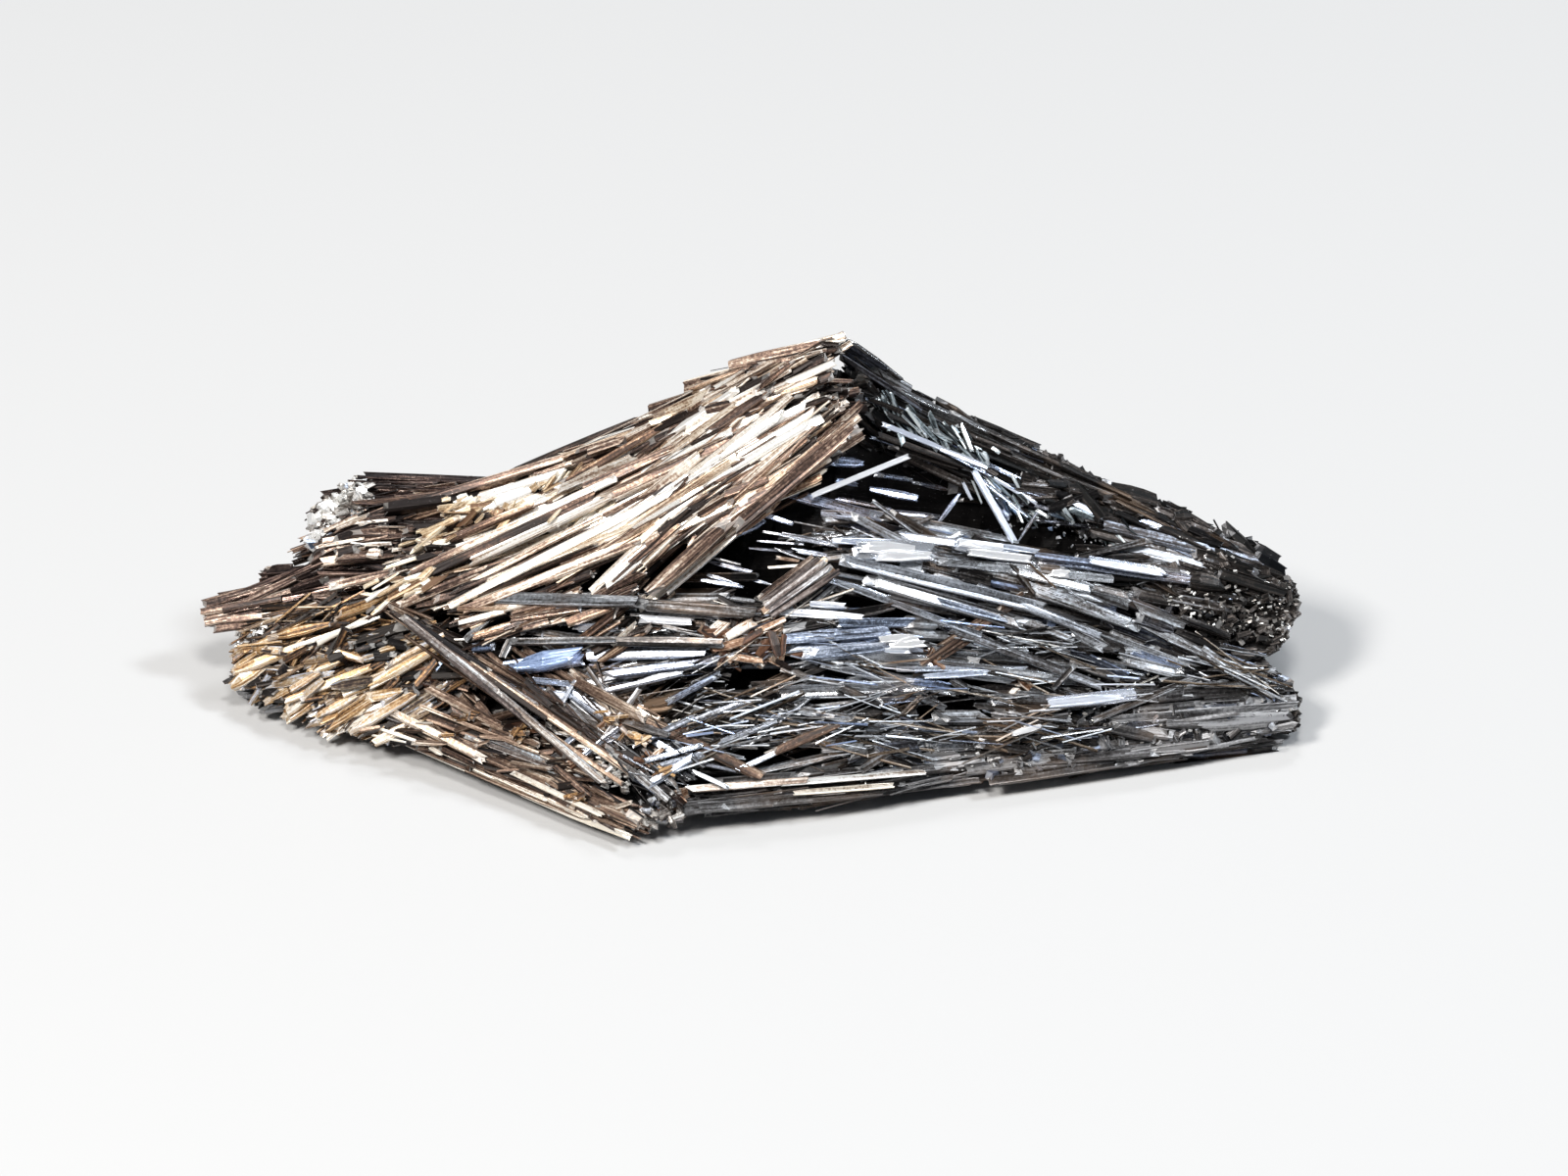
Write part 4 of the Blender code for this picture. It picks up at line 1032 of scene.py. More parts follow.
SPIKES = (
    ((-25.6, -1.4), (-22.3, 1.3), 0.3, 0.85, 0.7, 0.5, 0),
    ((-23.0, -2.1), (-19.8, 0.6), 0.4, 0.8, 0.65, 0.5, 0),
    ((-20.2, -2.3), (-17.3, 0.2), 0.5, 0.75, 0.7, 0.5, 0.1),
    ((-28.3, 0.7), (-24.7, 2.5), 0.3, 0.8, 0.6, 0.4, 0.2),
    ((-27.3, -0.3), (-23.1, 2.3), 0.6, 0.6, 0.75, 0.5, 0),
    ((-24.7, -1.0), (-20.9, 1.9), 0.8, 0.6, 0.45, 0.4, 0.3),
    ((-22.3, -1.2), (-18.3, 1.9), 0.9, 0.55, 0.7, 0.4, 0),
    ((-21.5, 0.8), (-17.8, 3.8), 1.0, 0.5, 0.5, 0.4, 0.5),
    ((-28.7, 2.5), (-25.2, 3.5), 0.5, 0.7, 0.5, 0.4, 0),
    ((-25.6, 1.6), (-22.8, 2.8), 1.1, 0.35, 0.6, 0.5, 0),
    ((-24.7, 0.6), (-19.4, 3.5), 1.1, 0.45, 0.35, 0.3, 0),
    ((-19.4, -1.4), (-16.5, 0.8), 0.7, 0.6, 0.6, 0.4, 0.2),
    ((-25.8, -1.5), (-22.8, 1.1), 1.0, 0.8, 0.62, 0.5, 0),
    ((-23.4, -2.2), (-18.9, 0.0), 1.0, 0.8, 0.74, 0.5, 0),
    ((-20.4, -2.4), (-17.4, -0.9), 1.0, 0.6, 0.6, 0.4, 0),
    ((-21.3, -1.7), (-17.8, 0.5), 1.3, 0.6, 0.56, 0.4, 0.2),
    ((-28.6, 0.6), (-25.8, 2.1), 1.1, 0.75, 0.6, 0.4, 0),
    ((-27.9, 1.5), (-23.6, 3.1), 1.4, 0.6, 0.62, 0.4, 0),
    ((-25.9, 3.4), (-22.4, 4.2), 1.3, 0.6, 0.42, 0.4, 0),
    ((-24.4, 2.9), (-19.9, 4.6), 1.6, 0.25, 0.85, 0.5, 0),
    ((-22.6, 2.9), (-20.6, 2.2), 1.6, 0.4, 0.52, 0.4, 0),
    ((-26.0, 0.8), (-22.1, 1.6), 1.3, 0.6, 0.5, 0.5, 0.6),
    ((-24.7, 0.0), (-20.2, 1.9), 1.5, 0.5, 0.6, 0.4, 0),
    ((-22.2, 0.8), (-20.1, 1.2), 1.6, 0.6, 0.42, 0.5, 0.9),
    ((-20.4, 0.8), (-16.7, 2.9), 1.5, 0.6, 0.58, 0.4, 0),
    ((-26.7, -0.5), (-24.3, 0.9), 1.1, 0.6, 0.56, 0.4, 0.1),
    ((-23.9, -1.3), (-20.9, 0.4), 1.3, 0.5, 0.48, 0.4, 0.3),
    ((-19.6, 1.8), (-16.4, 3.6), 1.5, 0.5, 0.5, 0.4, 0.5),
)
laid_piece("ochre_spike_tips", SPIKES, ochre_metal, BROAD._replace(taper=(0.45, 0.9)))


# ---------------------------------------------------------------------------------------------
# The lower left edge and the diagonals. Long brown laths run down to the foot across the others,
# each pale cream along its upper edge. Where they cross, amber crusts hold them together.
EDGE = (
    Sheaf("left_edge", (-20.0, 0.06), (-5.2, -0.04), (1.8, 1.3), 4, (1.0, 1.5), (0.7, 1.0), 0.45),
    Sheaf("diagonal", (-19.9, 0.52), (-5.9, 0.08), (0.4, 0.7), 1, (1.1, 1.3), (0.96, 1.0), 1.3),
    Sheaf("diagonal_low", (-13.0, 0.42), (-2.6, 0.10), (1.8, 2.6), 2, (0.8, 1.1), (0.6, 0.9), 0.7),
)
EDGE_TONES = (
    (0.12, (0.016, 0.011, 0.009)),
    (0.36, (0.095, 0.055, 0.038)),
    (0.54, (0.23, 0.155, 0.110)),
    (0.72, (0.50, 0.39, 0.30)),
    (0.90, (0.90, 0.84, 0.74)),
)
EDGE_LOOK = Look((0.05, 0.74), 0.7, 0.2)
EDGE_SMALLER = Size(3.4, (2, 8), (0.16, 0.5), (-0.7, 0.4))
EDGE_NEEDLES = Size(3.0, (2, 7), (0.08, 0.18), (-0.5, 0.5))
edge_metal = lath_metal(
    "edge_metal", EDGE_TONES, metallic=0.6, roughness=0.44,
    cool=(0.8, 1.2, 1.8), break_and_glint_colour=(0.94, 0.91, 0.86),
)
EDGE_FEW = Size(0.9, (1.5, 5), (0.14, 0.4), (-0.6, 0.3))
for sheaf in EDGE:
    smaller = EDGE_FEW if sheaf.name == "diagonal_low" else EDGE_SMALLER
    needles = EDGE_FEW if sheaf.name == "diagonal_low" else EDGE_NEEDLES
    groups = grown(sheaf, EDGE_LOOK, smaller, needles, blades=6, stray=4.0, trim=0.4)
    lath_piece(sheaf.name, groups, edge_metal)
EDGE_FILL = Sheaf("edge_fill", (-18.5, 0.24), (-7.5, 0.03), (2.2, 2.0), 0, (), (), 0.4)
FILL_LATHS = Size(2.2, (0.8, 3.2), (0.2, 0.6), (-0.8, 0.5))
FILL_LOOK, FILL_TURNS = Look((0.0, 0.75), 0.7, 0.3), (-12.0, 42.0)
lath_piece("edge_fill", [
    (strewn_laths(EDGE_FILL, FILL_LATHS, FILL_LOOK, stray=12.0, turn=turn), MIDDLING)
    for turn in FILL_TURNS
], edge_metal)
EDGE_LATHS = (
    ((-19.2, -0.5), (-13.9, -3.1), 1.2, 0.5, 0.62, 0.3, 0),
    ((-18.4, -2.2), (-14.3, -3.9), 0.5, 0.4, 1.1, 0.5, 0),
    ((-15.4, -3.3), (-11.0, -5.2), 0.5, 0.4, 1.0, 0.5, 0),
    ((-12.4, -4.7), (-8.2, -6.4), 0.5, 0.4, 1.1, 0.4, 0),
    ((-9.5, -5.9), (-6.2, -7.1), 0.5, 0.4, 1.0, 0.4, 0),
    ((-17.0, -2.4), (-13.6, -3.8), 0.8, 0.3, 0.8, 0.4, 0),
    ((-13.6, -3.9), (-9.8, -5.5), 0.8, 0.3, 0.85, 0.4, 0),
    ((-10.6, -5.1), (-7.0, -6.6), 0.8, 0.3, 0.75, 0.4, 0),
    ((-16.6, -2.4), (-11.9, -4.5), 1.1, 0.3, 0.3, 0.3, 0),
    ((-12.5, -3.7), (-7.4, -6.0), 1.1, 0.3, 0.95, 0.4, 0),
    ((-13.8, -2.9), (-4.9, -6.7), 0.9, 0.9, 0.42, 0.3, 0),
    ((-23.0, 3.1), (-20.3, 4.7), 1.5, 0.28, 0.85, 0.4, 0),
    ((-20.7, 4.4), (-17.1, 6.9), 1.6, 0.2, 0.35, 0.3, 0),
    ((-18.8, 4.7), (-12.6, 0.3), 2.0, 0.42, 0.5, 0.4, 0.5),
    ((-13.2, 0.7), (-7.3, -4.1), 1.9, 0.45, 0.56, 0.4, 0.5),
    ((-18.5, 4.3), (-11.0, -1.3), 1.9, 0.3, 0.34, 0.3, 0.6),
    ((-12.0, -0.3), (-7.0, -4.3), 2.0, 0.25, 0.66, 0.4, 0.2),
    ((-14.1, -1.0), (-10.9, -2.3), 1.2, 0.4, 0.6, 0.3, 0),
    ((-17.3, 0.8), (-13.0, -1.3), 1.2, 0.5, 0.5, 0.3, 0),
    ((-9.0, 1.2), (-5.3, -0.9), 1.4, 0.6, 0.4, 0.3, 0),
    ((-5.4, -0.9), (0.7, -4.0), 1.2, 0.6, 0.38, 0.3, 0),
    ((-3.5, -4.6), (3.1, -4.1), 0.9, 0.4, 0.55, 0.4, 0.2),
    ((1.6, -4.3), (9.3, -3.7), 0.9, 0.35, 0.7, 0.4, 0.2),
    ((2.2, -4.8), (7.6, -4.4), 0.9, 0.3, 0.8, 0.5, 0),
    ((0.8, -2.8), (4.7, -1.1), 1.1, 0.5, 0.25, 0.3, 0),
)
laid_piece("edge_laths", EDGE_LATHS, edge_metal)
KNOT_LOOK = Look((-0.1, 0.6), 0.5, 0.2)
grain_piece("edge_knots", [
    ("knot_pale", 60, (-7.9, -6.2), (0.04, 0.12), (0.6, 1.2), (0.2, 0.6), SPARKLE),
    ("knot_foot", 50, (-5.6, -3.6), (-0.03, 0.04), (0.3, 0.9), (0.3, 0.8), KNOT_LOOK),
], broken_metal)


# ---------------------------------------------------------------------------------------------
# The middle. Grey laths lie across the foot of the fan, from thick blue-grey ones to hairs, with
# black gaps between them. They grew through one another, and each is welded where it crosses.
MIDDLE = (
    Sheaf("low_left", (-13.5, 0.12), (-1.0, 0.24), (2.2, 3.0), 4, (0.9, 1.5), (0.35, 0.7), 0.4),
    Sheaf("low_cross_left", (-9.5, 0.30), (-3.0, 0.05), (4.0, 3.0), 2, (0.8, 1.1), (0.6, 0.9), 0.9),
    Sheaf("middle_left", (-15.0, 0.56), (1.5, 0.42), (2.6, 3.0), 5, (0.9, 1.4), (0.5, 0.95), 0.7),
    Sheaf("middle_rise", (-14.5, 0.24), (0.0, 0.38), (3.0, 3.0), 4, (0.9, 1.5), (0.35, 0.7), 0.4),
)
STEEL_TONES = (
    (0.14, (0.012, 0.011, 0.011)),
    (0.36, (0.070, 0.062, 0.058)),
    (0.52, (0.20, 0.200, 0.205)),
    (0.68, (0.42, 0.44, 0.47)),
    (0.90, (0.86, 0.89, 0.94)),
)
steel = lath_metal(
    "steel", STEEL_TONES, metallic=0.82, roughness=0.42,
    cool=(0.55, 0.70, 1.05), break_and_glint_colour=(0.92, 0.94, 0.97), stained=0.45,
)
MIX_TONES = (
    (0.14, (0.013, 0.010, 0.008)),
    (0.34, (0.10, 0.070, 0.045)),
    (0.50, (0.25, 0.20, 0.155)),
    (0.68, (0.45, 0.42, 0.38)),
    (0.92, (0.88, 0.86, 0.82)),
)
worn_mix = lath_metal(
    "worn_mix", MIX_TONES, metallic=0.7, roughness=0.44,
    cool=(0.85, 1.2, 1.75), break_and_glint_colour=(0.92, 0.91, 0.89), stained=1.0,
)
MIDDLE_LOOK = Look((0.05, 0.72), 1.0, 0.14)
CROSSING = Size(2.0, (1.5, 8), (0.18, 0.6), (-1.2, 0.4))
HAIRS = Size(3.0, (1.5, 7), (0.07, 0.17), (-0.7, 0.55))
for sheaf in MIDDLE:
    metal = worn_mix if sheaf.name == "low_left" else steel
    groups = grown(sheaf, MIDDLE_LOOK, CROSSING, HAIRS, blades=3, stray=10.0, trim=0.4)
    lath_piece(sheaf.name, groups, metal)
MIDDLE_LATHS = (
    ((-13.3, 5.6), (-5.3, 5.4), 2.0, 0.7, 0.52, 0.4, 0),
    ((-5.6, 5.3), (0.6, 4.8), 1.8, 0.7, 0.3, 0.3, 0),
    ((-11.0, 5.0), (-8.4, 5.0), 1.3, 0.6, 0.95, 1, 0.2),
    ((-12.4, 3.25), (-6.4, 3.35), 1.8, 0.45, 0.28, 0.3, 0),
    ((-6.6, 3.3), (-1.2, 3.2), 1.8, 0.6, 0.2, 0.3, 0),
    ((-12.9, 1.8), (-8.4, 2.4), 1.2, 0.9, 0.6, 0.6, 0.75),
    ((-8.4, 2.5), (-2.1, 2.7), 1.1, 0.7, 0.48, 0.5, 0.3),
    ((-7.6, 1.4), (-1.1, 2.3), 1.1, 0.6, 0.35, 0.5, 0.6),
    ((-11.6, 0.5), (-9.4, 0.3), 1.0, 0.6, 0.9, 0.9, 0.1),
    ((-14.9, 2.9), (-13.3, 3.0), 1.3, 0.55, 0.35, 0.6, 0.9),
    ((-13.0, 2.3), (-11.9, 4.6), 1.2, 0.5, 0.5, 0.4, 0),
    ((-15.3, 3.3), (-13.1, 5.0), 1.4, 0.45, 0.4, 0.3, 0),
    ((-8.5, -2.7), (-6.4, -1.5), 1.1, 0.5, 0.8, 0.7, 0.3),
    ((-5.5, -4.4), (-2.7, -2.8), 1.0, 0.5, 0.75, 0.6, 0.2),
    ((-5.2, -3.5), (-2.3, -2.7), 1.0, 0.4, 0.7, 0.6, 0.2),
    ((-7.7, -2.3), (-5.6, 0.8), 1.2, 0.35, 0.5, 0.4, 0),
    ((-9.3, 4.0), (-6.6, 4.0), 1.0, 0.5, 0.85, 0.8, 0.2),
    ((-10.9, 5.1), (-10.9, 3.2), 0.9, 0.14, 0.8, 0.6, 0.2),
    ((-11.4, 1.2), (-8.6, 0.9), 1.1, 0.35, 0.6, 0.7, 0.3),
    ((-10.1, -0.9), (-8.9, 1.2), 1.3, 0.25, 0.5, 0.5, 0.2),
    ((-9.6, 0.6), (-7.4, -0.9), 1.2, 0.3, 0.5, 0.6, 0.3),
    ((-8.6, -2.9), (-6.5, -1.3), 1.3, 0.3, 0.7, 0.8, 0.3),
    ((-5.6, -3.1), (-2.4, -2.2), 1.3, 0.3, 0.65, 0.8, 0.3),
    ((-6.0, -2.3), (-2.8, -0.7), 1.2, 0.35, 0.4, 0.5, 0.3),
    ((-4.3, 0.0), (-1.4, 1.6), 1.2, 0.4, 0.4, 0.5, 0.6),
    ((-3.6, -1.2), (-0.2, 0.1), 1.1, 0.35, 0.5, 0.6, 0.2),
    ((-7.4, 0.6), (-3.3, 1.6), 1.2, 0.3, 0.6, 0.6, 0.3),
    ((-1.8, -2.2), (1.6, -0.9), 1.1, 0.35, 0.5, 0.6, 0.2),
    ((-0.8, -3.6), (1.9, -2.4), 1.1, 0.3, 0.6, 0.7, 0.2),
    ((-3.1, -3.6), (-1.2, -4.5), 1.2, 0.25, 0.7, 0.5, 0),
)
laid_piece("middle_laths", MIDDLE_LATHS, steel)


# ---------------------------------------------------------------------------------------------
# The right face. Long steel-grey laths run down to the right under the crest, with blue ones and
# bright ones among them. It is less tarnished than the left, and its laths mirror the light.
RIGHT = (
    Sheaf("step", (1.5, 0.58), (23.6, 0.70), (1.4, 1.6), 5, (1.1, 1.6), (0.4, 0.7), 0.7),
    Sheaf("right_upper", (3.5, 0.54), (22.0, 0.51), (3.2, 2.4), 6, (1.1, 1.7), (0.4, 0.8), 0.5),
    Sheaf("right_fall", (13.0, 0.61), (29.6, 0.25), (3.4, 2.4), 6, (1.0, 1.6), (0.4, 0.8), 0.5),
    Sheaf("right_middle", (-3.5, 0.36), (22.0, 0.30), (4.4, 3.2), 7, (1.0, 1.7), (0.3, 0.6), 0.5),
    Sheaf("right_lower", (-5.0, 0.17), (20.0, 0.12), (3.4, 2.2), 6, (1.0, 1.6), (0.3, 0.6), 0.4),
)
RIGHT_LOOK = Look((0.05, 0.7), 1.0, 0.14)
TURNED = Size(0.3, (1.2, 4.5), (0.2, 0.6), (-0.1, 0.6))
TURNS = (-22.0, 17.0, 30.0)
PALE_LOOK = Look((0.2, 0.85), 1.0, 0.1)
for sheaf in RIGHT:
    look = PALE_LOOK if sheaf.name == "right_middle" else RIGHT_LOOK
    groups = grown(sheaf, look, CROSSING, HAIRS, blades=3, stray=9.0, trim=0.45)
    for turn in TURNS:
        groups.append((strewn_laths(sheaf, TURNED, look, stray=6.0, turn=turn), MIDDLING))
    lath_piece(sheaf.name, groups, steel)

# Thin tan laths that cross the others at a slant, like a net.
NET = Size(0.42, (2, 6), (0.09, 0.2), (0.3, 0.85))
NET_LOOK, NET_TURNS = Look((0.25, 0.85), 0.8, 0.1), (-21.0, -9.0, 14.0, 26.0)
lath_piece("right_net", [
    (strewn_laths(sheaf, NET, NET_LOOK, stray=6.0, turn=turn), NEEDLE)
    for sheaf in RIGHT[2:] for turn in NET_TURNS
], worn_mix)

# Short pale hairs that lie among them, like felt.
FELT = Size(5.0, (0.8, 4.0), (0.07, 0.17), (-0.1, 0.9))
FELT_LOOK = Look((0.35, 1.05), 0.8, 0.15)
lath_piece("right_felt", [
    (strewn_laths(sheaf, FELT, FELT_LOOK, stray=14.0), NEEDLE) for sheaf in RIGHT[2:]
], steel)

# The clearest laths of the right face; those of shade 1 and gloss 1 are painted pale as highlights.
RIGHT_LATHS = (
    ((2.0, 11.3), (6.7, 9.9), 0.9, 0.6, 0.4, 0.6, 0.7),
    ((0.8, 10.2), (2.6, 9.6), 1.1, 0.25, 0.75, 0.9, 0.6),
    ((5.2, 8.2), (9.6, 8.1), 1.3, 1.15, 1, 1, 0.05),
    ((7.4, 9.0), (15.1, 8.0), 1.2, 0.5, 0.7, 0.8, 0.1),
    ((10.7, 8.5), (14.9, 7.8), 1.3, 0.7, 1, 1, 0.1),
    ((15.8, 7.0), (17.0, 6.9), 1.1, 0.45, 1, 1, 0),
    ((14.9, 7.8), (24.3, 6.5), 1.1, 0.6, 0.35, 0.7, 0.5),
    ((18.0, 7.7), (22.4, 7.0), 1.4, 0.45, 1, 1, 0.25),
    ((17.0, 7.7), (21.6, 8.8), 1.2, 0.4, 0.3, 0.4, 0),
    ((4.8, 7.7), (15.8, 5.0), 1.2, 0.7, 0.6, 0.5, 0.1),
    ((5.6, 6.7), (15.1, 4.0), 1.0, 0.8, 0.5, 0.5, 0),
    ((4.5, 6.6), (12.2, 3.6), 1.3, 0.35, 0.6, 0.5, 0.1),
    ((2.4, 3.7), (7.3, 5.2), 1.2, 0.45, 0.28, 0.3, 0),
    ((2.0, 3.0), (7.4, 3.8), 1.0, 0.8, 0.72, 0.5, 0.25),
    ((2.9, 2.5), (9.1, 3.1), 1.0, 0.8, 0.75, 0.6, 0.25),
    ((6.9, 3.1), (8.5, 3.2), 1.2, 0.6, 1, 1, 0),
    ((7.5, 1.8), (14.8, 1.8), 1.1, 0.3, 0.75, 0.6, 0.2),
    ((8.1, 1.2), (10.6, 0.9), 1.1, 0.4, 0.5, 0.6, 0.85),
    ((16.1, 0.7), (17.4, 2.1), 1.3, 0.35, 0.25, 0.3, 0),
    ((15.8, -0.1), (20.7, 0.4), 1.1, 0.7, 0.85, 0.7, 0.2),
    ((13.8, -1.7), (15.5, -1.3), 1.0, 0.35, 1, 0.9, 0),
    ((14.6, 6.2), (21.0, 4.0), 1.1, 0.7, 0.5, 0.5, 0),
    ((20.4, 4.6), (27.9, 0.8), 1.0, 0.6, 0.45, 0.4, 0),
    ((11.9, 6.2), (18.9, 3.5), 1.2, 0.5, 0.55, 0.5, 0.1),
    ((10.4, 4.0), (18.9, 0.8), 1.1, 0.5, 0.4, 0.4, 0.1),
    ((18.3, -1.0), (24.2, 1.4), 1.0, 0.4, 0.4, 0.4, 0),
)
laid_piece("right_laths", RIGHT_LATHS, steel)

# The plates painted almost white, as highlights: on the ledge below the hollow and under the stub.
PLATES = (
    ((5.2, 8.4), (8.4, 8.2), 1.6, 0.75, 0.8, 1, 0.05),
    ((6.0, 7.9), (9.4, 7.9), 1.65, 0.7, 0.9, 1, 0.05),
    ((4.6, 8.7), (7.0, 8.6), 1.5, 0.4, 0.6, 1, 0.3),
    ((10.8, 8.6), (13.2, 8.3), 1.6, 0.5, 0.8, 1, 0.1),
    ((11.3, 8.1), (14.8, 7.7), 1.6, 0.5, 0.9, 1, 0.05),
    ((12.6, 8.5), (15.3, 8.1), 1.5, 0.35, 0.6, 1, 0.3),
    ((18.1, 7.6), (22.0, 6.9), 1.6, 0.4, 0.85, 1, 0.3),
    ((15.8, 7.0), (17.0, 6.9), 1.4, 0.45, 0.9, 1, 0),
    ((2.0, 3.4), (7.0, 3.9), 1.4, 0.7, 0.35, 0.7, 0.4),
    ((2.8, 2.6), (7.4, 3.1), 1.4, 0.7, 0.4, 0.7, 0.3),
    ((6.3, 3.4), (8.6, 3.6), 1.7, 0.4, 0.8, 1, 0),
    ((6.8, 3.1), (9.1, 3.2), 1.8, 0.45, 0.95, 1, 0),
    ((6.6, 2.8), (8.3, 2.8), 1.7, 0.35, 0.7, 1, 0.2),
    ((7.3, 3.3), (8.6, 3.5), 1.9, 0.3, 0.95, 1, 0),
    ((4.7, 4.3), (8.6, 4.3), 1.3, 0.5, 0.3, 0.7, 0.4),
    ((1.5, 4.9), (5.6, 4.6), 1.4, 0.5, 0.7, 0.9, 0.1),
    ((3.4, 5.3), (5.0, 5.2), 1.3, 0.4, 0.6, 0.9, 0.2),
    ((15.8, -0.1), (20.0, 0.3), 1.3, 0.55, 0.55, 0.8, 0.3),
    ((13.8, -1.7), (15.5, -1.3), 1.2, 0.35, 0.9, 0.9, 0),
    ((-11.0, 5.0), (-8.4, 5.0), 1.6, 0.5, 0.6, 1, 0.2),
    ((-11.6, 0.5), (-9.4, 0.3), 1.2, 0.5, 0.6, 0.9, 0.3),
    ((-12.3, 1.95), (-8.3, 2.6), 1.6, 1.05, 0.42, 0.9, 0.9),
    ((-5.6, 4.5), (-2.7, 4.3), 1.2, 0.45, 0.7, 0.9, 0.1),
    ((-9.9, -2.5), (-8.4, -1.4), 1.2, 0.35, 0.45, 0.8, 0.3),
    ((-5.3, -4.2), (-2.9, -2.8), 1.3, 0.4, 0.45, 0.7, 0.3),
    ((9.0, 1.4), (12.6, 1.6), 1.3, 0.35, 0.45, 0.8, 0.3),
    ((9.6, 5.5), (13.6, 4.4), 1.4, 0.4, 0.4, 0.7, 0.3),
)
# Painted highlight: the plates' tones run up to near white.
PLATE_PAINTED_HIGHLIGHT_TONES = (
    (0.22, (0.05, 0.055, 0.065)),
    (0.44, (0.27, 0.30, 0.35)),
    (0.64, (0.68, 0.72, 0.79)),
    (0.90, (0.98, 0.98, 0.99)),
)
PLATE_CARVING = Carving(12, 3, 1.5, 0.24, (0.6, 1.0))
bright_steel = lath_metal(
    "bright_steel", PLATE_PAINTED_HIGHLIGHT_TONES, metallic=0.55, roughness=0.42,
    break_and_glint_colour=(0.98, 0.98, 0.99),
)
laid_piece("plates", PLATES, bright_steel, PLATE_CARVING)


# ---------------------------------------------------------------------------------------------
# The foot. Along the bottom of the front, laths lie flat and close together where the cluster
# rested. They are rubbed to a dull grey, and some are cream.
FOOT = (
    Sheaf("foot_middle", (-4.4, 0.02), (13.0, 0.02), (1.6, 1.4), 4, (1.1, 1.7), (0.5, 0.95), 0.3),
    Sheaf("foot_right", (11.0, 0.02), (29.4, -0.02), (1.4, 1.6), 4, (1.1, 1.6), (0.5, 0.95), 0.3),
)
FOOT_TONES = (
    (0.12, (0.014, 0.013, 0.013)),
    (0.38, (0.060, 0.056, 0.055)),
    (0.60, (0.17, 0.168, 0.172)),
    (0.85, (0.45, 0.45, 0.46)),
)
dull_grey = lath_metal(
    "dull_grey", FOOT_TONES, metallic=0.8, roughness=0.48,
    cool=(0.6, 0.75, 1.05), break_and_glint_colour=(0.85, 0.85, 0.86), stained=0.4,
)
FOOT_LOOK, RUBBED_LOOK = Look((0.2, 0.75), 0.8, 0.05), Look((0.2, 0.8), 0.8, 0.15)
for sheaf in FOOT:
    lath_piece(sheaf.name, grown(sheaf, FOOT_LOOK, CROSSING, HAIRS, blades=3, stray=3.0), dull_grey)
grain_piece("foot_grains", [
    ("foot_grains", 1000, (13.0, 29.3), (-0.03, 0.16), (-0.5, 0.6), (0.25, 1.0), RUBBED_LOOK),
], dull_grey)


# ---------------------------------------------------------------------------------------------
# The dark crest. To the right of the peak the laths are short, rough and almost black, and the
# crest line is jagged with their broken ends. A few have a clean face that catches the light.
CREST = (
    Sheaf("crest_inner", (5.4, 0.88), (15.5, 0.91), (1.2, 2.2), 3, (0.9, 1.4), (0.6, 1.0), 0.3),
    Sheaf("crest_right", (5.4, 0.93), (18.0, 0.97), (1.6, 2.2), 5, (1.1, 1.6), (0.5, 0.9), 0.2),
    Sheaf("crest_far", (14.0, 0.97), (29.2, 0.99), (2.2, 2.2), 5, (1.1, 1.7), (0.4, 0.75), 0.2),
)
CREST_TONES = (
    (0.25, (0.006, 0.006, 0.006)),
    (0.52, (0.032, 0.026, 0.023)),
    (0.76, (0.12, 0.102, 0.092)),
    (1.05, (0.60, 0.62, 0.66)),
)
crest_metal = lath_metal(
    "crest_metal", CREST_TONES, metallic=0.8, roughness=0.46,
    cool=(0.6, 0.8, 1.15), break_and_glint_colour=(0.62, 0.62, 0.64),
)
CREST_STUBS = Size(2.6, (0.8, 4), (0.3, 0.9), (-0.6, 0.4))
CREST_HAIRS = Size(1.6, (0.6, 2.6), (0.09, 0.22), (-0.5, 0.35))
CREST_LOOK = Look((0.1, 0.6), 0.8, 0.08)
for sheaf in CREST:
    groups = grown(sheaf, CREST_LOOK, CREST_STUBS, CREST_HAIRS, blades=4, stray=14.0, trim=0.42)
    lath_piece(sheaf.name, groups, crest_metal)
CREST_BUMPS = Size(4.0, (0.6, 2.4), (0.3, 0.85), (-0.6, 0.65))
BUMP_LOOK, GLINT_LOOK = Look((0.05, 0.6), 0.6, 0.1), Look((0.9, 1.3), 1, 0.2)
lath_piece("crest_bumps", [
    (strewn_laths(sheaf, CREST_BUMPS, BUMP_LOOK, stray=26.0), MIDDLING) for sheaf in CREST[1:]
], crest_metal)
# The crest glints are tiny grains painted pale, as glints.
grain_piece("crest_grains", [
    ("crest_grains", 1500, (5.8, 29.0), (0.84, 0.98), (-0.5, 0.15), (0.35, 1.0), CREST_LOOK),
    ("crest_glints", 420, (6.5, 28.0), (0.76, 0.98), (0.0, 0.35), (0.1, 0.3), GLINT_LOOK),
], crest_metal)


# ---------------------------------------------------------------------------------------------
# The right lobes. The right end is two rough lobes with a notch between them, made of laths that
# snapped short. They are dark, and their broken ends sparkle.
RIGHT_LOBES = (
    Sheaf("lobe_back", (17.5, 0.74), (30.0, 0.84), (3.2, 2.8), 5, (1.2, 1.8), (0.5, 0.9), 0.3),
    Sheaf("lobe_front", (18.5, 0.13), (30.0, 0.10), (2.2, 2.0), 5, (1.2, 1.8), (0.55, 0.95), 0.5),
)
SNAPPED_LOOK = Look((0.25, 0.78), 1.0, 0.08)
for sheaf in RIGHT_LOBES:
    groups = grown(sheaf, SNAPPED_LOOK, CREST_STUBS, CREST_HAIRS, blades=3, stray=9.0)
    lath_piece(sheaf.name, groups, crest_metal if sheaf.name == "lobe_back" else dull_grey)
END_LOOK = Look((0.08, 0.58), 0.4, 0.05)
END_TONES = (
    (0.20, (0.010, 0.009, 0.009)),
    (0.45, (0.055, 0.045, 0.040)),
    (0.68, (0.17, 0.150, 0.140)),
    (0.95, (0.55, 0.54, 0.54)),
)
end_metal = lath_metal("end_metal", END_TONES, metallic=0.6, roughness=0.58, break_and_glint_colour=(0.5, 0.48, 0.46))
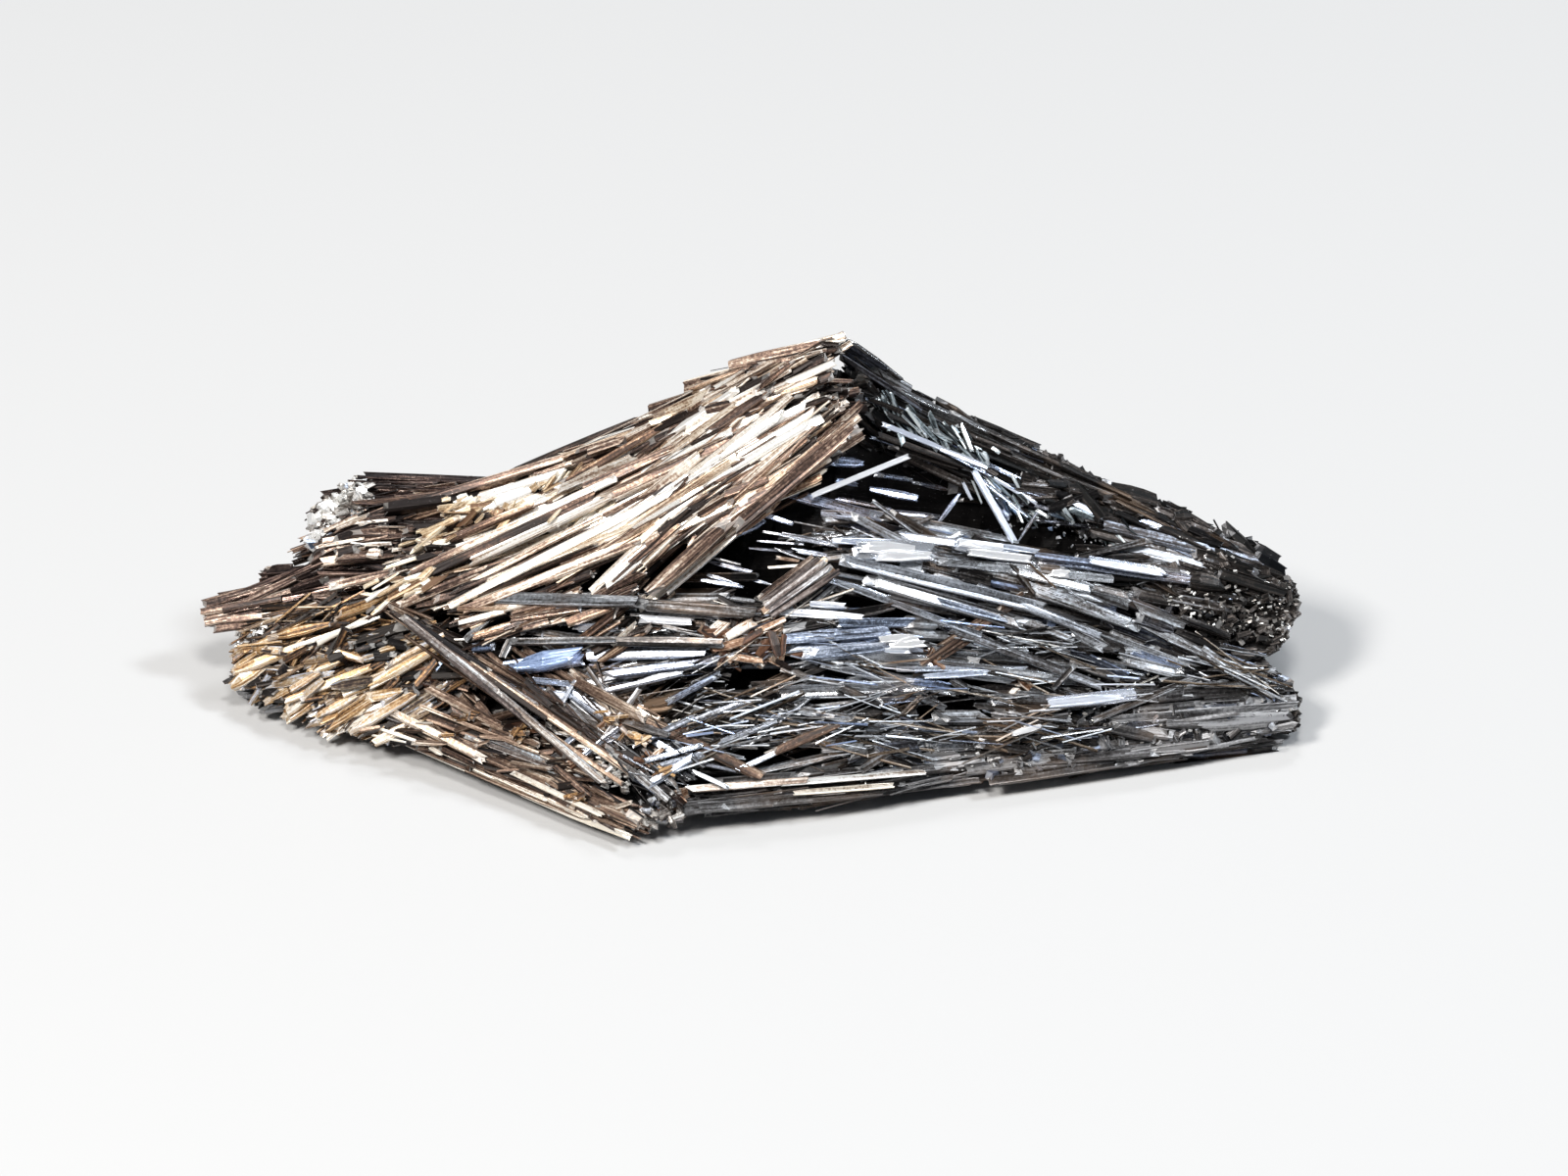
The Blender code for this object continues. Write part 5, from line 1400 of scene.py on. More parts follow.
grain_piece("end_grains", [
    ("end_back", 850, (24.4, 29.9), (0.50, 0.97), (-0.7, 0.85), (0.25, 0.85), END_LOOK),
    ("end_back_inner", 320, (20.0, 25.8), (0.56, 0.96), (-0.5, 0.65), (0.25, 0.8), END_LOOK),
    ("end_front", 900, (24.0, 29.9), (0.0, 0.34), (-0.9, 0.35), (0.3, 0.9), END_LOOK),
], end_metal)
# Sparkles: tiny grains painted pale, as glints.
grain_piece("end_sparkles", [
    ("end_back_sparkles", 260, (22.5, 29.4), (0.52, 0.94), (0.5, 1.1), (0.1, 0.3), SPARKLE),
    ("end_front_sparkles", 240, (17.0, 29.4), (0.02, 0.32), (0.2, 0.7), (0.12, 0.34), SPARKLE),
    ("foot_sparkles", 260, (6.0, 29.0), (0.0, 0.12), (0.2, 0.7), (0.1, 0.28), SPARKLE),
], broken_metal)


# ---------------------------------------------------------------------------------------------
# The laths that cross the hollows. A few clean single crystals bridge the gaps, some of them
# bright as a mirror and painted pale as highlights: needles and splitting laths under the crest, and a
# fluted stub in the middle.
BRIDGES = (
    Sheaf("stub", (0.4, 0.41), (4.5, 0.52), (0.9, 0.9), 1, (1.1, 1.3), (0.9, 1.0), 1.3),
    Sheaf("rusty_cross", (8.6, 0.31), (15.0, 0.53), (1.2, 0.8), 1, (0.8, 1.0), (0.85, 1.0), 1.0),
    Sheaf("low_cross", (-1.0, 0.33), (5.5, 0.50), (3.0, 2.4), 2, (0.8, 1.0), (0.6, 0.9), 0.4),
)
BRIDGE_LOOKS = (
    Look((0.4, 0.75), 0.5, 0.0),
    Look((0.25, 0.45), 0.3, 0.0),
    Look((0.25, 0.7), 0.8, 0.2),
)
for sheaf, look in zip(BRIDGES, BRIDGE_LOOKS):
    metal = steel if sheaf.name == "low_cross" else edge_metal
    lath_piece(sheaf.name, [(split_laths(sheaf, look, blades=4), BROAD)], metal)
# Needles painted pale, as highlights.
PAINTED_HIGHLIGHT_LATHS = (
    ((3.6, 11.1), (8.3, 13.3), 1.1, 0.32, 1.0, 1, 0.1),
    ((6.1, 15.0), (9.8, 13.7), 1.7, 0.3, 0.9, 1, 0.4),
    ((9.7, 13.7), (12.3, 12.7), 1.6, 0.3, 0.95, 1, 0.35),
    ((7.2, 15.2), (10.4, 14.0), 0.3, 0.5, 0.7, 0.8, 0.5),
    ((11.8, 12.6), (14.1, 8.6), 0.8, 0.4, 0.95, 1, 0.35),
    ((12.2, 12.6), (15.5, 10.7), 0.6, 0.22, 0.9, 1, 0.35),
    ((11.4, 11.9), (11.9, 10.9), 0.4, 0.18, 0.9, 1, 0.3),
    ((13.0, 11.5), (14.7, 10.4), 0.1, 0.6, 0.7, 0.7, 0.4),
    ((8.0, 14.7), (11.9, 13.3), 0.6, 0.25, 0.75, 0.9, 0.5),
    ((17.1, 10.9), (19.0, 10.0), 0.9, 0.35, 0.8, 1.0, 0.3),
)
SLATS = (
    ((4.1, 13.0), (6.5, 12.9), -0.5, 0.5, 0.57, 0.6, 0.7),
    ((6.7, 11.5), (9.3, 11.0), -0.4, 0.45, 0.62, 0.7, 0.7),
    ((9.5, 12.9), (11.5, 12.9), -0.1, 0.4, 0.72, 0.7, 0.5),
    ((4.5, 12.0), (6.1, 11.7), -0.4, 0.3, 0.52, 0.5, 0.7),
    ((7.2, 10.3), (10.4, 10.0), -0.2, 0.3, 0.47, 0.5, 0.5),
    ((12.5, 12.1), (14.1, 9.9), 0.2, 0.5, 0.72, 0.7, 0.4),
    ((9.9, 9.5), (11.2, 11.3), 0.6, 0.25, 0.62, 0.6, 0.5),
    ((14.4, 8.7), (15.5, 10.3), 0.5, 0.2, 0.42, 0.5, 0.3),
    ((7.4, 16.0), (11.2, 14.1), 0.6, 0.35, 0.72, 0.8, 0.5),
    ((5.8, 16.4), (8.4, 15.6), 0.6, 0.3, 0.52, 0.8, 0.5),
    ((6.4, 14.3), (9.0, 13.6), 0.2, 0.25, 0.47, 0.7, 0.6),
    ((8.8, 15.3), (11.6, 13.6), 0.8, 0.25, 0.67, 0.9, 0.4),
    ((9.4, 14.0), (12.8, 12.2), 0.9, 0.2, 0.57, 0.8, 0.5),
    ((10.6, 13.9), (13.4, 12.5), 0.8, 0.3, 0.47, 0.8, 0.5),
    ((12.6, 12.9), (15.4, 11.6), 0.7, 0.25, 0.52, 0.8, 0.5),
    ((13.2, 11.9), (16.6, 10.9), 0.6, 0.3, 0.42, 0.7, 0.5),
    ((12.0, 12.3), (14.9, 10.0), 0.7, 0.2, 0.62, 0.9, 0.4),
    ((4.6, 11.0), (7.6, 10.4), 0.2, 0.25, 0.37, 0.6, 0.6),
    ((6.9, 12.3), (9.0, 12.0), -0.3, 0.3, 0.37, 0.6, 0.6),
    ((8.9, 11.9), (10.9, 11.5), -0.4, 0.25, 0.32, 0.6, 0.6),
    ((14.2, 10.9), (17.2, 10.2), 0.3, 0.25, 0.37, 0.6, 0.5),
    ((15.2, 9.9), (18.4, 9.5), 0.3, 0.2, 0.32, 0.6, 0.5),
    ((20.9, 9.9), (22.4, 9.3), 0.9, 0.35, 0.72, 0.9, 0.4),
    ((-2.2, 7.6), (0.2, 7.0), 0.2, 0.25, 0.42, 0.6, 0.5),
    ((-1.0, 6.9), (1.4, 6.3), 0.3, 0.2, 0.47, 0.6, 0.3),
    ((-2.5, 6.6), (-0.2, 6.2), 0.5, 0.24, 0.66, 0.9, 0.4),
    ((-2.2, 6.9), (-0.4, 6.3), 0.4, 0.2, 0.5, 0.9, 0.4),
    ((-0.5, 9.1), (1.1, 9.8), 1.0, 0.5, 0.55, 0.7, 0.7),
    ((0.5, 8.7), (3.1, 8.5), 0.6, 0.14, 0.4, 0.6, 0.4),
    ((0.0, 8.3), (2.5, 8.1), 0.4, 0.16, 0.34, 0.6, 0.5),
    ((0.9, 9.2), (3.4, 8.8), 1.0, 0.12, 0.6, 0.6, 0.0),
    ((1.8, 9.1), (4.8, 8.4), 1.1, 0.3, 0.6, 0.8, 0.3),
    ((1.4, 8.3), (3.9, 7.4), 0.5, 0.16, 0.4, 0.6, 0.2),
    ((2.4, 8.2), (4.4, 7.9), 0.9, 0.3, 0.5, 0.7, 0.4),
    ((-1.9, 7.8), (-0.3, 7.4), 0.6, 0.12, 0.45, 0.6, 0.0),
    ((4.4, 6.6), (7.0, 5.6), 1.3, 0.38, 0.72, 0.8, 0.2),
    ((1.9, 3.9), (7.2, 5.2), 1.5, 0.6, 0.16, 0.3, 0.0),
)
SLAT_CARVING = BROAD._replace(splinter=3.0, taper=(0.4, 1.0))
laid_piece("slats", SLATS, steel, SLAT_CARVING)
laid_piece("bright_laths", PAINTED_HIGHLIGHT_LATHS, bright_steel)
STUB_LATHS = (
    ((1.3, 4.6), (4.8, 7.1), 1.8, 0.34, 0.24, 0.2, 0.6),
    ((1.2, 4.9), (4.6, 7.35), 1.9, 0.36, 0.4, 0.3, 0.8),
    ((1.0, 5.1), (4.4, 7.6), 2.0, 0.34, 0.5, 0.3, 0.6),
    ((0.9, 5.35), (4.1, 7.8), 2.0, 0.34, 0.32, 0.2, 0.6),
    ((0.7, 5.6), (3.8, 7.9), 1.9, 0.3, 0.45, 0.3, 0.2),
    ((1.2, 7.25), (3.3, 7.4), 1.2, 0.16, 0.75, 0.3, 0.0),
    ((1.6, 7.8), (2.9, 7.6), 1.1, 0.22, 0.45, 0.3, 0.0),
)
laid_piece("stub_laths", STUB_LATHS, edge_metal)


# ---------------------------------------------------------------------------------------------
# The crusts. A rusty brown crust sits on the laths where they cross, thickest in the middle of the
# front. It is made of grains that grew over the joints, and it is softer and duller than the laths.
CRUST_TONES = (
    (0.15, (0.014, 0.007, 0.005)),
    (0.38, (0.085, 0.034, 0.018)),
    (0.64, (0.17, 0.080, 0.042)),
    (0.86, (0.50, 0.33, 0.22)),
    (0.98, (0.92, 0.88, 0.82)),
)
crust = lath_metal("rusty_crust", CRUST_TONES, metallic=0.35, roughness=0.42, break_and_glint_colour=(0.62, 0.46, 0.33))
# x and height shown of each crust, its reach along and up, its lift and how many grains it has.
CRUSTS = (
    ((0.3, 3.4), (1.4, 1.0), 1, 170),
    ((-0.7, 4.0), (0.8, 0.4), 1.1, 40),
    ((1.3, 4.0), (0.5, 0.5), 1.1, 30),
    ((-11.9, -1.5), (0.7, 0.3), 1, 16),
    ((-6.6, -1.0), (0.5, 0.5), 1.1, 20),
    ((-5.5, -3.1), (0.7, 0.3), 1, 18),
    ((-22.0, 2.7), (0.5, 0.3), 1, 12),
    ((14.6, 1.2), (0.4, 0.4), 0.9, 9),
    ((-3.5, -1.5), (0.5, 0.3), 1, 12),
    ((-4.0, -5.1), (0.6, 0.3), 0.6, 14),
    ((9.7, 2.3), (0.4, 0.3), 0.9, 8),
    ((-17.0, 1.4), (0.5, 0.4), 1, 12),
    ((-8.8, -2.9), (0.5, 0.4), 1, 14),
)


# Splinters crowd round the middle of their patch. They lie a little deeper or higher than it, and
# stray from its turn by some degrees, from the face by a slope, and roll.
CROWDING, SPLINTER_DEPTH = 0.5, (-0.6, 0.15)
SPLINTER_STRAY, SPLINTER_SLOPE, SPLINTER_ROLL = 12, 0.15, 0.4
LEVEL = (1.0, 0.0, 0.0)


def splinters(name, rows, length, width, look, turns):
    """Splinters scattered round the middle of each row, lying flat across the laths."""
    rng = np.random.default_rng(list(name.encode()))
    middles, normals = [], []
    for at, (along, up), lift, count in rows:
        place, normal = shown_at(*at, lift)
        uphill = unit(np.cross(normal, LEVEL))
        spread = rng.normal(0, CROWDING, (count, 2)) * (along, up)
        depth = rng.uniform(*SPLINTER_DEPTH, (count, 1))
        middles.append(place + spread[:, :1] * LEVEL + spread[:, 1:] * uphill + depth * normal)
        normals.append(np.repeat(normal[None], count, axis=0))
    middle, normal = np.concatenate(middles), np.concatenate(normals)
    count = len(middle)
    turn = np.radians(rng.choice(turns, count) + rng.normal(0, SPLINTER_STRAY, count))[:, None]
    level = unit(np.cross((0.0, 1.0, 0.0), normal))
    ahead = level * np.cos(turn) + np.cross(normal, level) * np.sin(turn)
    ahead = ahead + normal * rng.normal(0, SPLINTER_SLOPE, (count, 1))
    reach = rng.uniform(*length, (count, 1)) / 2
    wide = rng.uniform(*width, count)
    facing = normal + rng.normal(0, SPLINTER_ROLL, (count, 3))
    return Laths(middle - ahead * reach, middle + ahead * reach, facing, wide, wide * LATH_THICKNESS,
                 *own_looks(count, rng, look))


CRUST_SHARDS = (
    ((-1.1, 3.5), (0.5, 4.4), 1.5, 0.6, 0.9, 0.3, 0),
    ((0.5, 3.8), (2.1, 4.5), 1.5, 0.4, 0.75, 0.3, 0),
    ((-1.9, 2.8), (0.2, 3.4), 1.4, 0.5, 0.66, 0.3, 0),
    ((1.3, 3.9), (1.7, 2.4), 1.5, 0.5, 0.1, 0.3, 0),
    ((2.0, 3.7), (1.8, 2.3), 1.4, 0.35, 0.4, 0.3, 0),
    ((-0.9, 2.5), (0.9, 2.2), 1.3, 0.4, 0.72, 0.3, 0),
    ((-0.3, 3.2), (0.9, 3.9), 1.6, 0.4, 0.2, 0.3, 0),
)
rusty = splinters("crusts", CRUSTS, length=(0.4, 1.8), width=(0.2, 0.7),
                  look=Look((-0.15, 0.95), 0.6, 0.0), turns=(-35, 0, 30, 55))
torn = MIDDLING._replace(splinter=2.4)
lath_piece("crusts", [(rusty, MIDDLING), (single_laths(CRUST_SHARDS), torn)], crust)


# ---------------------------------------------------------------------------------------------
# The shards under the peak. Beside the fan's broken ends the crest crumbled into small blue-grey
# and pale cream splinters, cleaner than the dark laths round them.
SHARD_TONES = (
    (0.20, (0.012, 0.013, 0.014)),
    (0.45, (0.085, 0.105, 0.115)),
    (0.70, (0.37, 0.44, 0.48)),
    (0.95, (0.88, 0.94, 0.96)),
)
shard_metal = lath_metal(
    "shard_metal", SHARD_TONES, metallic=0.7, roughness=0.42,
    break_and_glint_colour=(0.8, 0.84, 0.86),
)
SHARDS = (
    ((6.9, 16.0), (0.7, 0.5), 1.0, 16),
    ((8.2, 15.1), (1.6, 0.5), 1.2, 34),
    ((9.9, 14.4), (1.6, 0.5), 1.2, 24),
    ((11.5, 13.4), (1.4, 0.4), 1.0, 14),
    ((13.2, 11.7), (1.2, 0.4), 0.6, 12),
    ((13.8, 10.9), (1.2, 0.3), 0.5, 10),
    ((16.4, 10.2), (1.8, 0.4), 0.5, 12),
    ((19.9, 9.4), (1.8, 0.4), 0.6, 12),
)
shards = splinters("shards", SHARDS, length=(0.5, 2.2), width=(0.12, 0.36),
                   look=Look((0.1, 1.0), 0.9, 0.1), turns=(-22, -27, -31, -36))
lath_piece("crest_shards", [(shards, MIDDLING)], shard_metal)


# ---------------------------------------------------------------------------------------------
# The flakes and chips. Slivers of the tarnished laths split off and stayed where they lay: amber
# ones along the diagonals, ochre ones on the left end, brown and cream ones on the lower left edge,
# and cream ones thick on the left of the fan.
OCHRE_FLAKES = (
    ((-26.8, 2.0), (1.6, 1.0), 1.0, 34),
    ((-25.0, 0.6), (1.8, 1.0), 0.9, 40),
    ((-23.4, 2.2), (2.2, 1.0), 1.2, 40),
    ((-21.6, 0.2), (2.2, 1.0), 1.0, 44),
    ((-19.8, 2.8), (2.2, 0.9), 1.4, 40),
    ((-18.2, 0.6), (2.0, 0.9), 1.2, 40),
    ((-16.4, 1.6), (1.6, 0.8), 1.2, 24),
)
AMBER = (
    ((-11.9, -1.5), (0.7, 0.3), 1.7, 9),
    ((-14.9, -0.7), (0.7, 0.2), 1.5, 8),
    ((-6.9, -0.8), (0.6, 0.3), 1.7, 8),
    ((-5.8, -1.8), (0.7, 0.2), 1.6, 7),
    ((-8.9, -5.0), (0.7, 0.2), 1.4, 7),
    ((-16.2, -1.8), (0.8, 0.2), 1.4, 8),
    ((-4.4, -3.6), (0.7, 0.3), 1.5, 7),
)
amber = splinters("amber", AMBER, length=(0.4, 1.3), width=(0.15, 0.4),
                  look=Look((0.3, 0.62), 0.7, 0.0), turns=(-30, -20, 35))
lath_piece("amber_flecks", [(amber, MIDDLING)], ochre_metal)
ochre = splinters("flakes", OCHRE_FLAKES, length=(0.5, 2.2), width=(0.18, 0.6),
                  look=Look((-0.1, 0.72), 0.5, 0.4), turns=(8, 22, 34, -20))
lath_piece("ochre_flakes", [(ochre, MIDDLING)], ochre_metal)
EDGE_FLAKES = (
    ((-17.6, -1.6), (2.4, 0.7), 1.0, 13),
    ((-15.4, -2.6), (2.4, 0.7), 1.0, 13),
    ((-13.0, -3.8), (2.4, 0.7), 1.0, 13),
    ((-10.8, -4.8), (2.4, 0.7), 1.0, 13),
    ((-8.6, -5.8), (2.0, 0.6), 1.0, 12),
    ((-12.4, -2.2), (2.4, 0.8), 1.0, 16),
    ((-9.6, -3.2), (2.2, 0.8), 1.0, 14),
)
brown = splinters("edge flakes", EDGE_FLAKES, length=(0.8, 3.2), width=(0.12, 0.36),
                  look=Look((0.0, 0.95), 0.7, 0.2), turns=(-28, -24, -20))
lath_piece("edge_flakes", [(brown, MIDDLING)], edge_metal)
CREAM_TONES = (
    (0.25, (0.16, 0.085, 0.045)),
    (0.48, (0.52, 0.37, 0.22)),
    (0.70, (0.84, 0.72, 0.53)),
    (0.92, (0.97, 0.94, 0.87)),
)
cream_tarnish = lath_metal(
    "cream_tarnish", CREAM_TONES, metallic=0.4, roughness=0.46,
    break_and_glint_colour=(0.95, 0.9, 0.8),
)
CREAM_CHIPS = (
    ((-15.4, 10.3), (1.4, 0.8), 2.0, 46),
    ((-13.8, 10.9), (2.0, 0.8), 2.1, 56),
    ((-12.2, 10.2), (2.6, 0.9), 2.2, 50),
    ((-16.6, 8.9), (1.4, 0.6), 2.0, 30),
    ((-10.0, 12.0), (2.0, 0.5), 1.9, 26),
    ((-7.4, 10.4), (3.0, 1.0), 2.1, 30),
    ((-18.2, 6.4), (2.4, 0.8), 1.9, 30),
)
cream = splinters("cream", CREAM_CHIPS, length=(0.5, 2.4), width=(0.14, 0.5),
                  look=Look((0.2, 1.0), 0.7, 0.0), turns=(18, 24, 30))
lath_piece("cream_chips", [(cream, MIDDLING)], cream_tarnish)


# ---------------------------------------------------------------------------------------------
# The ends. Where the cluster snapped off at its two ends, the laths inside it stop at uneven
# lengths and show their broken cross-sections: dark, with the odd bright one.
STUMP_COUNT = 520
STUMP_IN = (1.0, 2.5)
STUMP_WIDTH, STUMP_THICKNESS = (0.35, 1.0), (0.5, 0.9)
STUMP_FLOOR, STUMP_LOWEST, STUMP_MARGIN = 0.6, 0.3, 0.97
STUMP_STRAY = 0.1
ROUND_LEVEL = (0.1, 1.0, 1.0)  # a stump may face any way round its length
STUMP_LOOK = Look((0.0, 0.75), 0.7, 0.1)


def end_stumps(name, x, outward, reach):
    """Short laths that stick out of one end of the heart, within its cross-section."""
    rng = np.random.default_rng(list(name.encode()))
    corners = np.array([
        (x, station(x, FRONT_FOOT), STUMP_FLOOR),
        (x, station(x, CREST_Y), station(x, CREST_Z)),
        (x, station(x, BACK_FOOT), STUMP_FLOOR),
    ])
    middle = corners.mean(axis=0)
    corners = middle + (corners - middle) * STUMP_MARGIN
    places = rng.dirichlet((1, 1, 1), STUMP_COUNT) @ corners
    level = np.array((outward, 0.0, 0.0))
    ahead = unit(level + rng.normal(0, STUMP_STRAY, (STUMP_COUNT, 3)))
    inner = places - ahead * rng.uniform(*STUMP_IN, (STUMP_COUNT, 1))
    outer = places + ahead * rng.uniform(*reach, (STUMP_COUNT, 1))
    outer[:, 2] = np.maximum(outer[:, 2], STUMP_LOWEST)
    width = rng.uniform(*STUMP_WIDTH, STUMP_COUNT)
    facing = rng.normal(0, 1, (STUMP_COUNT, 3)) * ROUND_LEVEL
    thickness = width * rng.uniform(*STUMP_THICKNESS, STUMP_COUNT)
    return Laths(inner, outer, facing, width, thickness, *own_looks(STUMP_COUNT, rng, STUMP_LOOK))


right = end_stumps("right_stumps", HEART_ENDS[1], outward=1.0, reach=(0.2, 1.7))
left = end_stumps("left_stumps", HEART_ENDS[0], outward=-1.0, reach=(0.1, 1.0))
lath_piece("right_stumps", [(right, MIDDLING)], end_metal)
lath_piece("left_stumps", [(left, MIDDLING)], dark_brown)


# ---------------------------------------------------------------------------------------------
# The back. Behind the crest the same sheaves carry on, laid more evenly: brown where the fan's
# laths come over, and grey to the right.
def behind(*sizes):
    """A sheaf of the back face."""
    return Sheaf(*sizes, face="back")


BACK_BROWN = (
    behind("back_fan_crest", (-24.0, 0.94), (4.8, 0.96), (2.2, 3.0), 5, (1.2, 1.9), (0.35, 0.65), -0.3),
    behind("back_fan", (-25.0, 0.55), (4.0, 0.72), (4.6, 5.0), 7, (1.2, 2.0), (0.35, 0.65), 0.4),
    behind("back_fan_low", (-22.0, 0.22), (4.0, 0.36), (4.0, 5.4), 6, (1.2, 2.0), (0.35, 0.6), 0.4),
    behind("back_foot_left", (-25.0, 0.04), (2.0, 0.04), (2.0, 2.4), 4, (1.2, 1.8), (0.35, 0.6), 0.3),
)
BACK_GREY = (
    behind("back_crest", (4.0, 0.94), (29.0, 0.94), (3.0, 2.0), 5, (1.2, 1.8), (0.35, 0.6), 0.3),
    behind("back_right", (2.0, 0.62), (29.6, 0.55), (5.6, 2.6), 7, (1.2, 2.0), (0.35, 0.6), 0.4),
    behind("back_right_low", (1.0, 0.26), (29.0, 0.22), (4.8, 2.4), 6, (1.2, 2.0), (0.35, 0.6), 0.4),
    behind("back_foot_right", (0.0, 0.04), (28.6, 0.05), (2.2, 1.8), 4, (1.2, 1.8), (0.35, 0.6), 0.3),
)
BACK_CROSSES = (
    behind("back_cross", (-11.0, 0.15), (0.0, 0.85), (4.0, 4.0), 2, (1.0, 1.4), (0.5, 0.8), 0.9),
    behind("back_cross_far", (17.0, 0.10), (9.0, 0.80), (4.0, 4.0), 2, (1.0, 1.4), (0.5, 0.8), 0.9),
)
BACK_SMALLER = Size(1.5, (3, 9), (0.35, 0.95), (-0.9, 0.4))
BACK_NEEDLES = Size(1.4, (2, 7), (0.1, 0.24), (-0.6, 0.6))
for sheaf in BACK_BROWN:
    groups = grown(sheaf, FAN_LOOK, BACK_SMALLER, BACK_NEEDLES, blades=3, stray=5.0, trim=0.4)
    lath_piece(sheaf.name, groups, brown_tarnish)
for sheaf in BACK_GREY:
    groups = grown(sheaf, RIGHT_LOOK, BACK_SMALLER, BACK_NEEDLES, blades=3, stray=6.0)
    lath_piece(sheaf.name, groups, steel)
for sheaf in BACK_CROSSES:
    lath_piece(sheaf.name, [(split_laths(sheaf, RIGHT_LOOK, blades=3), BROAD)], steel)


# ---------------------------------------------------------------------------------------------
# The underside. The cluster rests on laths laid flat beneath it, which broke away from the rock
# it grew on. They are dull, dark and close together.

# The big ones lie where the solid has them, spread over the base by steps along and across it.
FOOT_LATHS = 16
FOOT_SPAN = 0.74  # of the base's depth
FOOT_LENGTH = (9.0, 17.0)
FOOT_WIDTH = (1.4, 2.4)
FOOT_THICKNESS_SHARE = 0.7
FOOT_CENTRE_HEIGHT = (0.3, 0.55)
FOOT_TURN = 14.0
FOOT_STEP_ALONG, FOOT_STEP_ACROSS = 2.4, 0.618
# Each is split into blades, whose ends are cut by up to a share of its length.
UNDER_BLADES, UNDER_TRIM = 4, 0.2
UNDER_WIDTH, UNDER_THICKNESS = (1.0, 1.6), (0.6, 1.0)
UNDER_LOOK = Look((0.2, 0.7), 0.6, 0.05)


def underside_laths():
    """The laths that the cluster rests on, each split into blades."""
    draw = random.Random("underside")
    rng = np.random.default_rng(list(b"underside"))
    left, right = STATIONS[0, 0], STATIONS[-1, 0]
    rows = []
    for number in range(FOOT_LATHS):
        length = draw.uniform(*FOOT_LENGTH)
        middle = (left + right) / 2 + (right - left - length) / 2 * math.sin(number * FOOT_STEP_ALONG)
        front, back = station(middle, FRONT_FOOT), station(middle, BACK_FOOT)
        y = (front + back) / 2 + (back - front) * FOOT_SPAN * ((number * FOOT_STEP_ACROSS) % 1 - 0.5)
        turn = math.radians(draw.uniform(-FOOT_TURN, FOOT_TURN))
        ahead = np.array((math.cos(turn), math.sin(turn), 0.0))
        across = np.array((-ahead[1], ahead[0], 0.0))
        centre = np.array((middle, y, draw.uniform(*FOOT_CENTRE_HEIGHT)))
        width = draw.uniform(*FOOT_WIDTH)
        for blade in range(UNDER_BLADES):
            aside = across * ((blade + 0.5) / UNDER_BLADES - 0.5) * width
            trim = rng.uniform(0, UNDER_TRIM, 2) * length
            rows.append((centre - ahead * (length / 2 - trim[0]) + aside,
                         centre + ahead * (length / 2 - trim[1]) + aside,
                         np.array((0.0, 0.0, -1.0)),
                         width / UNDER_BLADES * rng.uniform(*UNDER_WIDTH),
                         width * FOOT_THICKNESS_SHARE * rng.uniform(*UNDER_THICKNESS)))
    return dressed(rows, rng, UNDER_LOOK)


# The smaller ones: their x, place between the front and back foot, length, height and width, how
# they stray in degrees and in slope, how they roll, and the ends that they may not pass.
BASE_COUNT = 700
BASE_X, BASE_ACROSS, BASE_HEIGHT = (-25, 26), (0.06, 0.94), (0.35, 1.1)
BASE_LENGTH, BASE_WIDTH = (3, 9), (0.3, 0.9)
BASE_STRAY, BASE_SLOPE, BASE_ROLLS = 11, 0.03, (0.1, 0.5)
BASE_LEFT, BASE_RIGHT = -29, 30


def underside_strewn():
    """Smaller laths that lie flat in the base between the big ones."""
    rng = np.random.default_rng(list(b"underside strewn"))
    x = rng.uniform(*BASE_X, BASE_COUNT)
    front, back = station(x, FRONT_FOOT), station(x, BACK_FOOT)
    y = front + (back - front) * rng.uniform(*BASE_ACROSS, BASE_COUNT)
    length = rng.uniform(*BASE_LENGTH, BASE_COUNT)
    turn = np.radians(rng.normal(0, BASE_STRAY, BASE_COUNT))
    slope = rng.normal(0, BASE_SLOPE, BASE_COUNT)
    ahead = np.stack((np.cos(turn), np.sin(turn), slope), axis=1)
    centre = np.stack((x, y, rng.uniform(*BASE_HEIGHT, BASE_COUNT)), axis=1)
    room = np.minimum(x - BASE_LEFT, BASE_RIGHT - x)
    reach = np.minimum(length, 2 * room)[:, None] / 2
    width = rng.uniform(*BASE_WIDTH, BASE_COUNT)
    rolls = [rng.normal(0, roll, BASE_COUNT) for roll in BASE_ROLLS]
    facing = np.stack((*rolls, -np.ones(BASE_COUNT)), axis=1)
    thickness = width * FOOT_THICKNESS_SHARE
    return Laths(centre - ahead * reach, centre + ahead * reach, facing, width, thickness,
                 *own_looks(BASE_COUNT, rng, UNDER_LOOK))


lath_piece("underside_laths", [(underside_laths(), BROAD), (underside_strewn(), MIDDLING)], dull_grey)


# ---------------------------------------------------------------------------------------------
# The floor, the light and the camera. The cluster lies on plain pale paper. The strongest soft
# lamp is at the upper left, a weaker one hangs in front, a cool one is at the right, and a faint
# one behind.
TABLE_SIZE = 3.0
PAPER_COLOUR, PAPER_ROUGHNESS = (0.58, 0.58, 0.58, 1.0), 0.8
table_mesh = bpy.data.meshes.new("table")
half = TABLE_SIZE / 2
corners = [(-half, -half, 0), (half, -half, 0), (half, half, 0), (-half, half, 0)]
table_mesh.from_pydata(corners, [], [(0, 1, 2, 3)])
table = bpy.data.objects.new("table", table_mesh)
bpy.context.scene.collection.objects.link(table)
paper = bpy.data.materials.new("pale_paper")
paper.use_nodes = True
paper_shader = paper.node_tree.nodes["Principled BSDF"]
paper_shader.inputs["Base Color"].default_value = PAPER_COLOUR
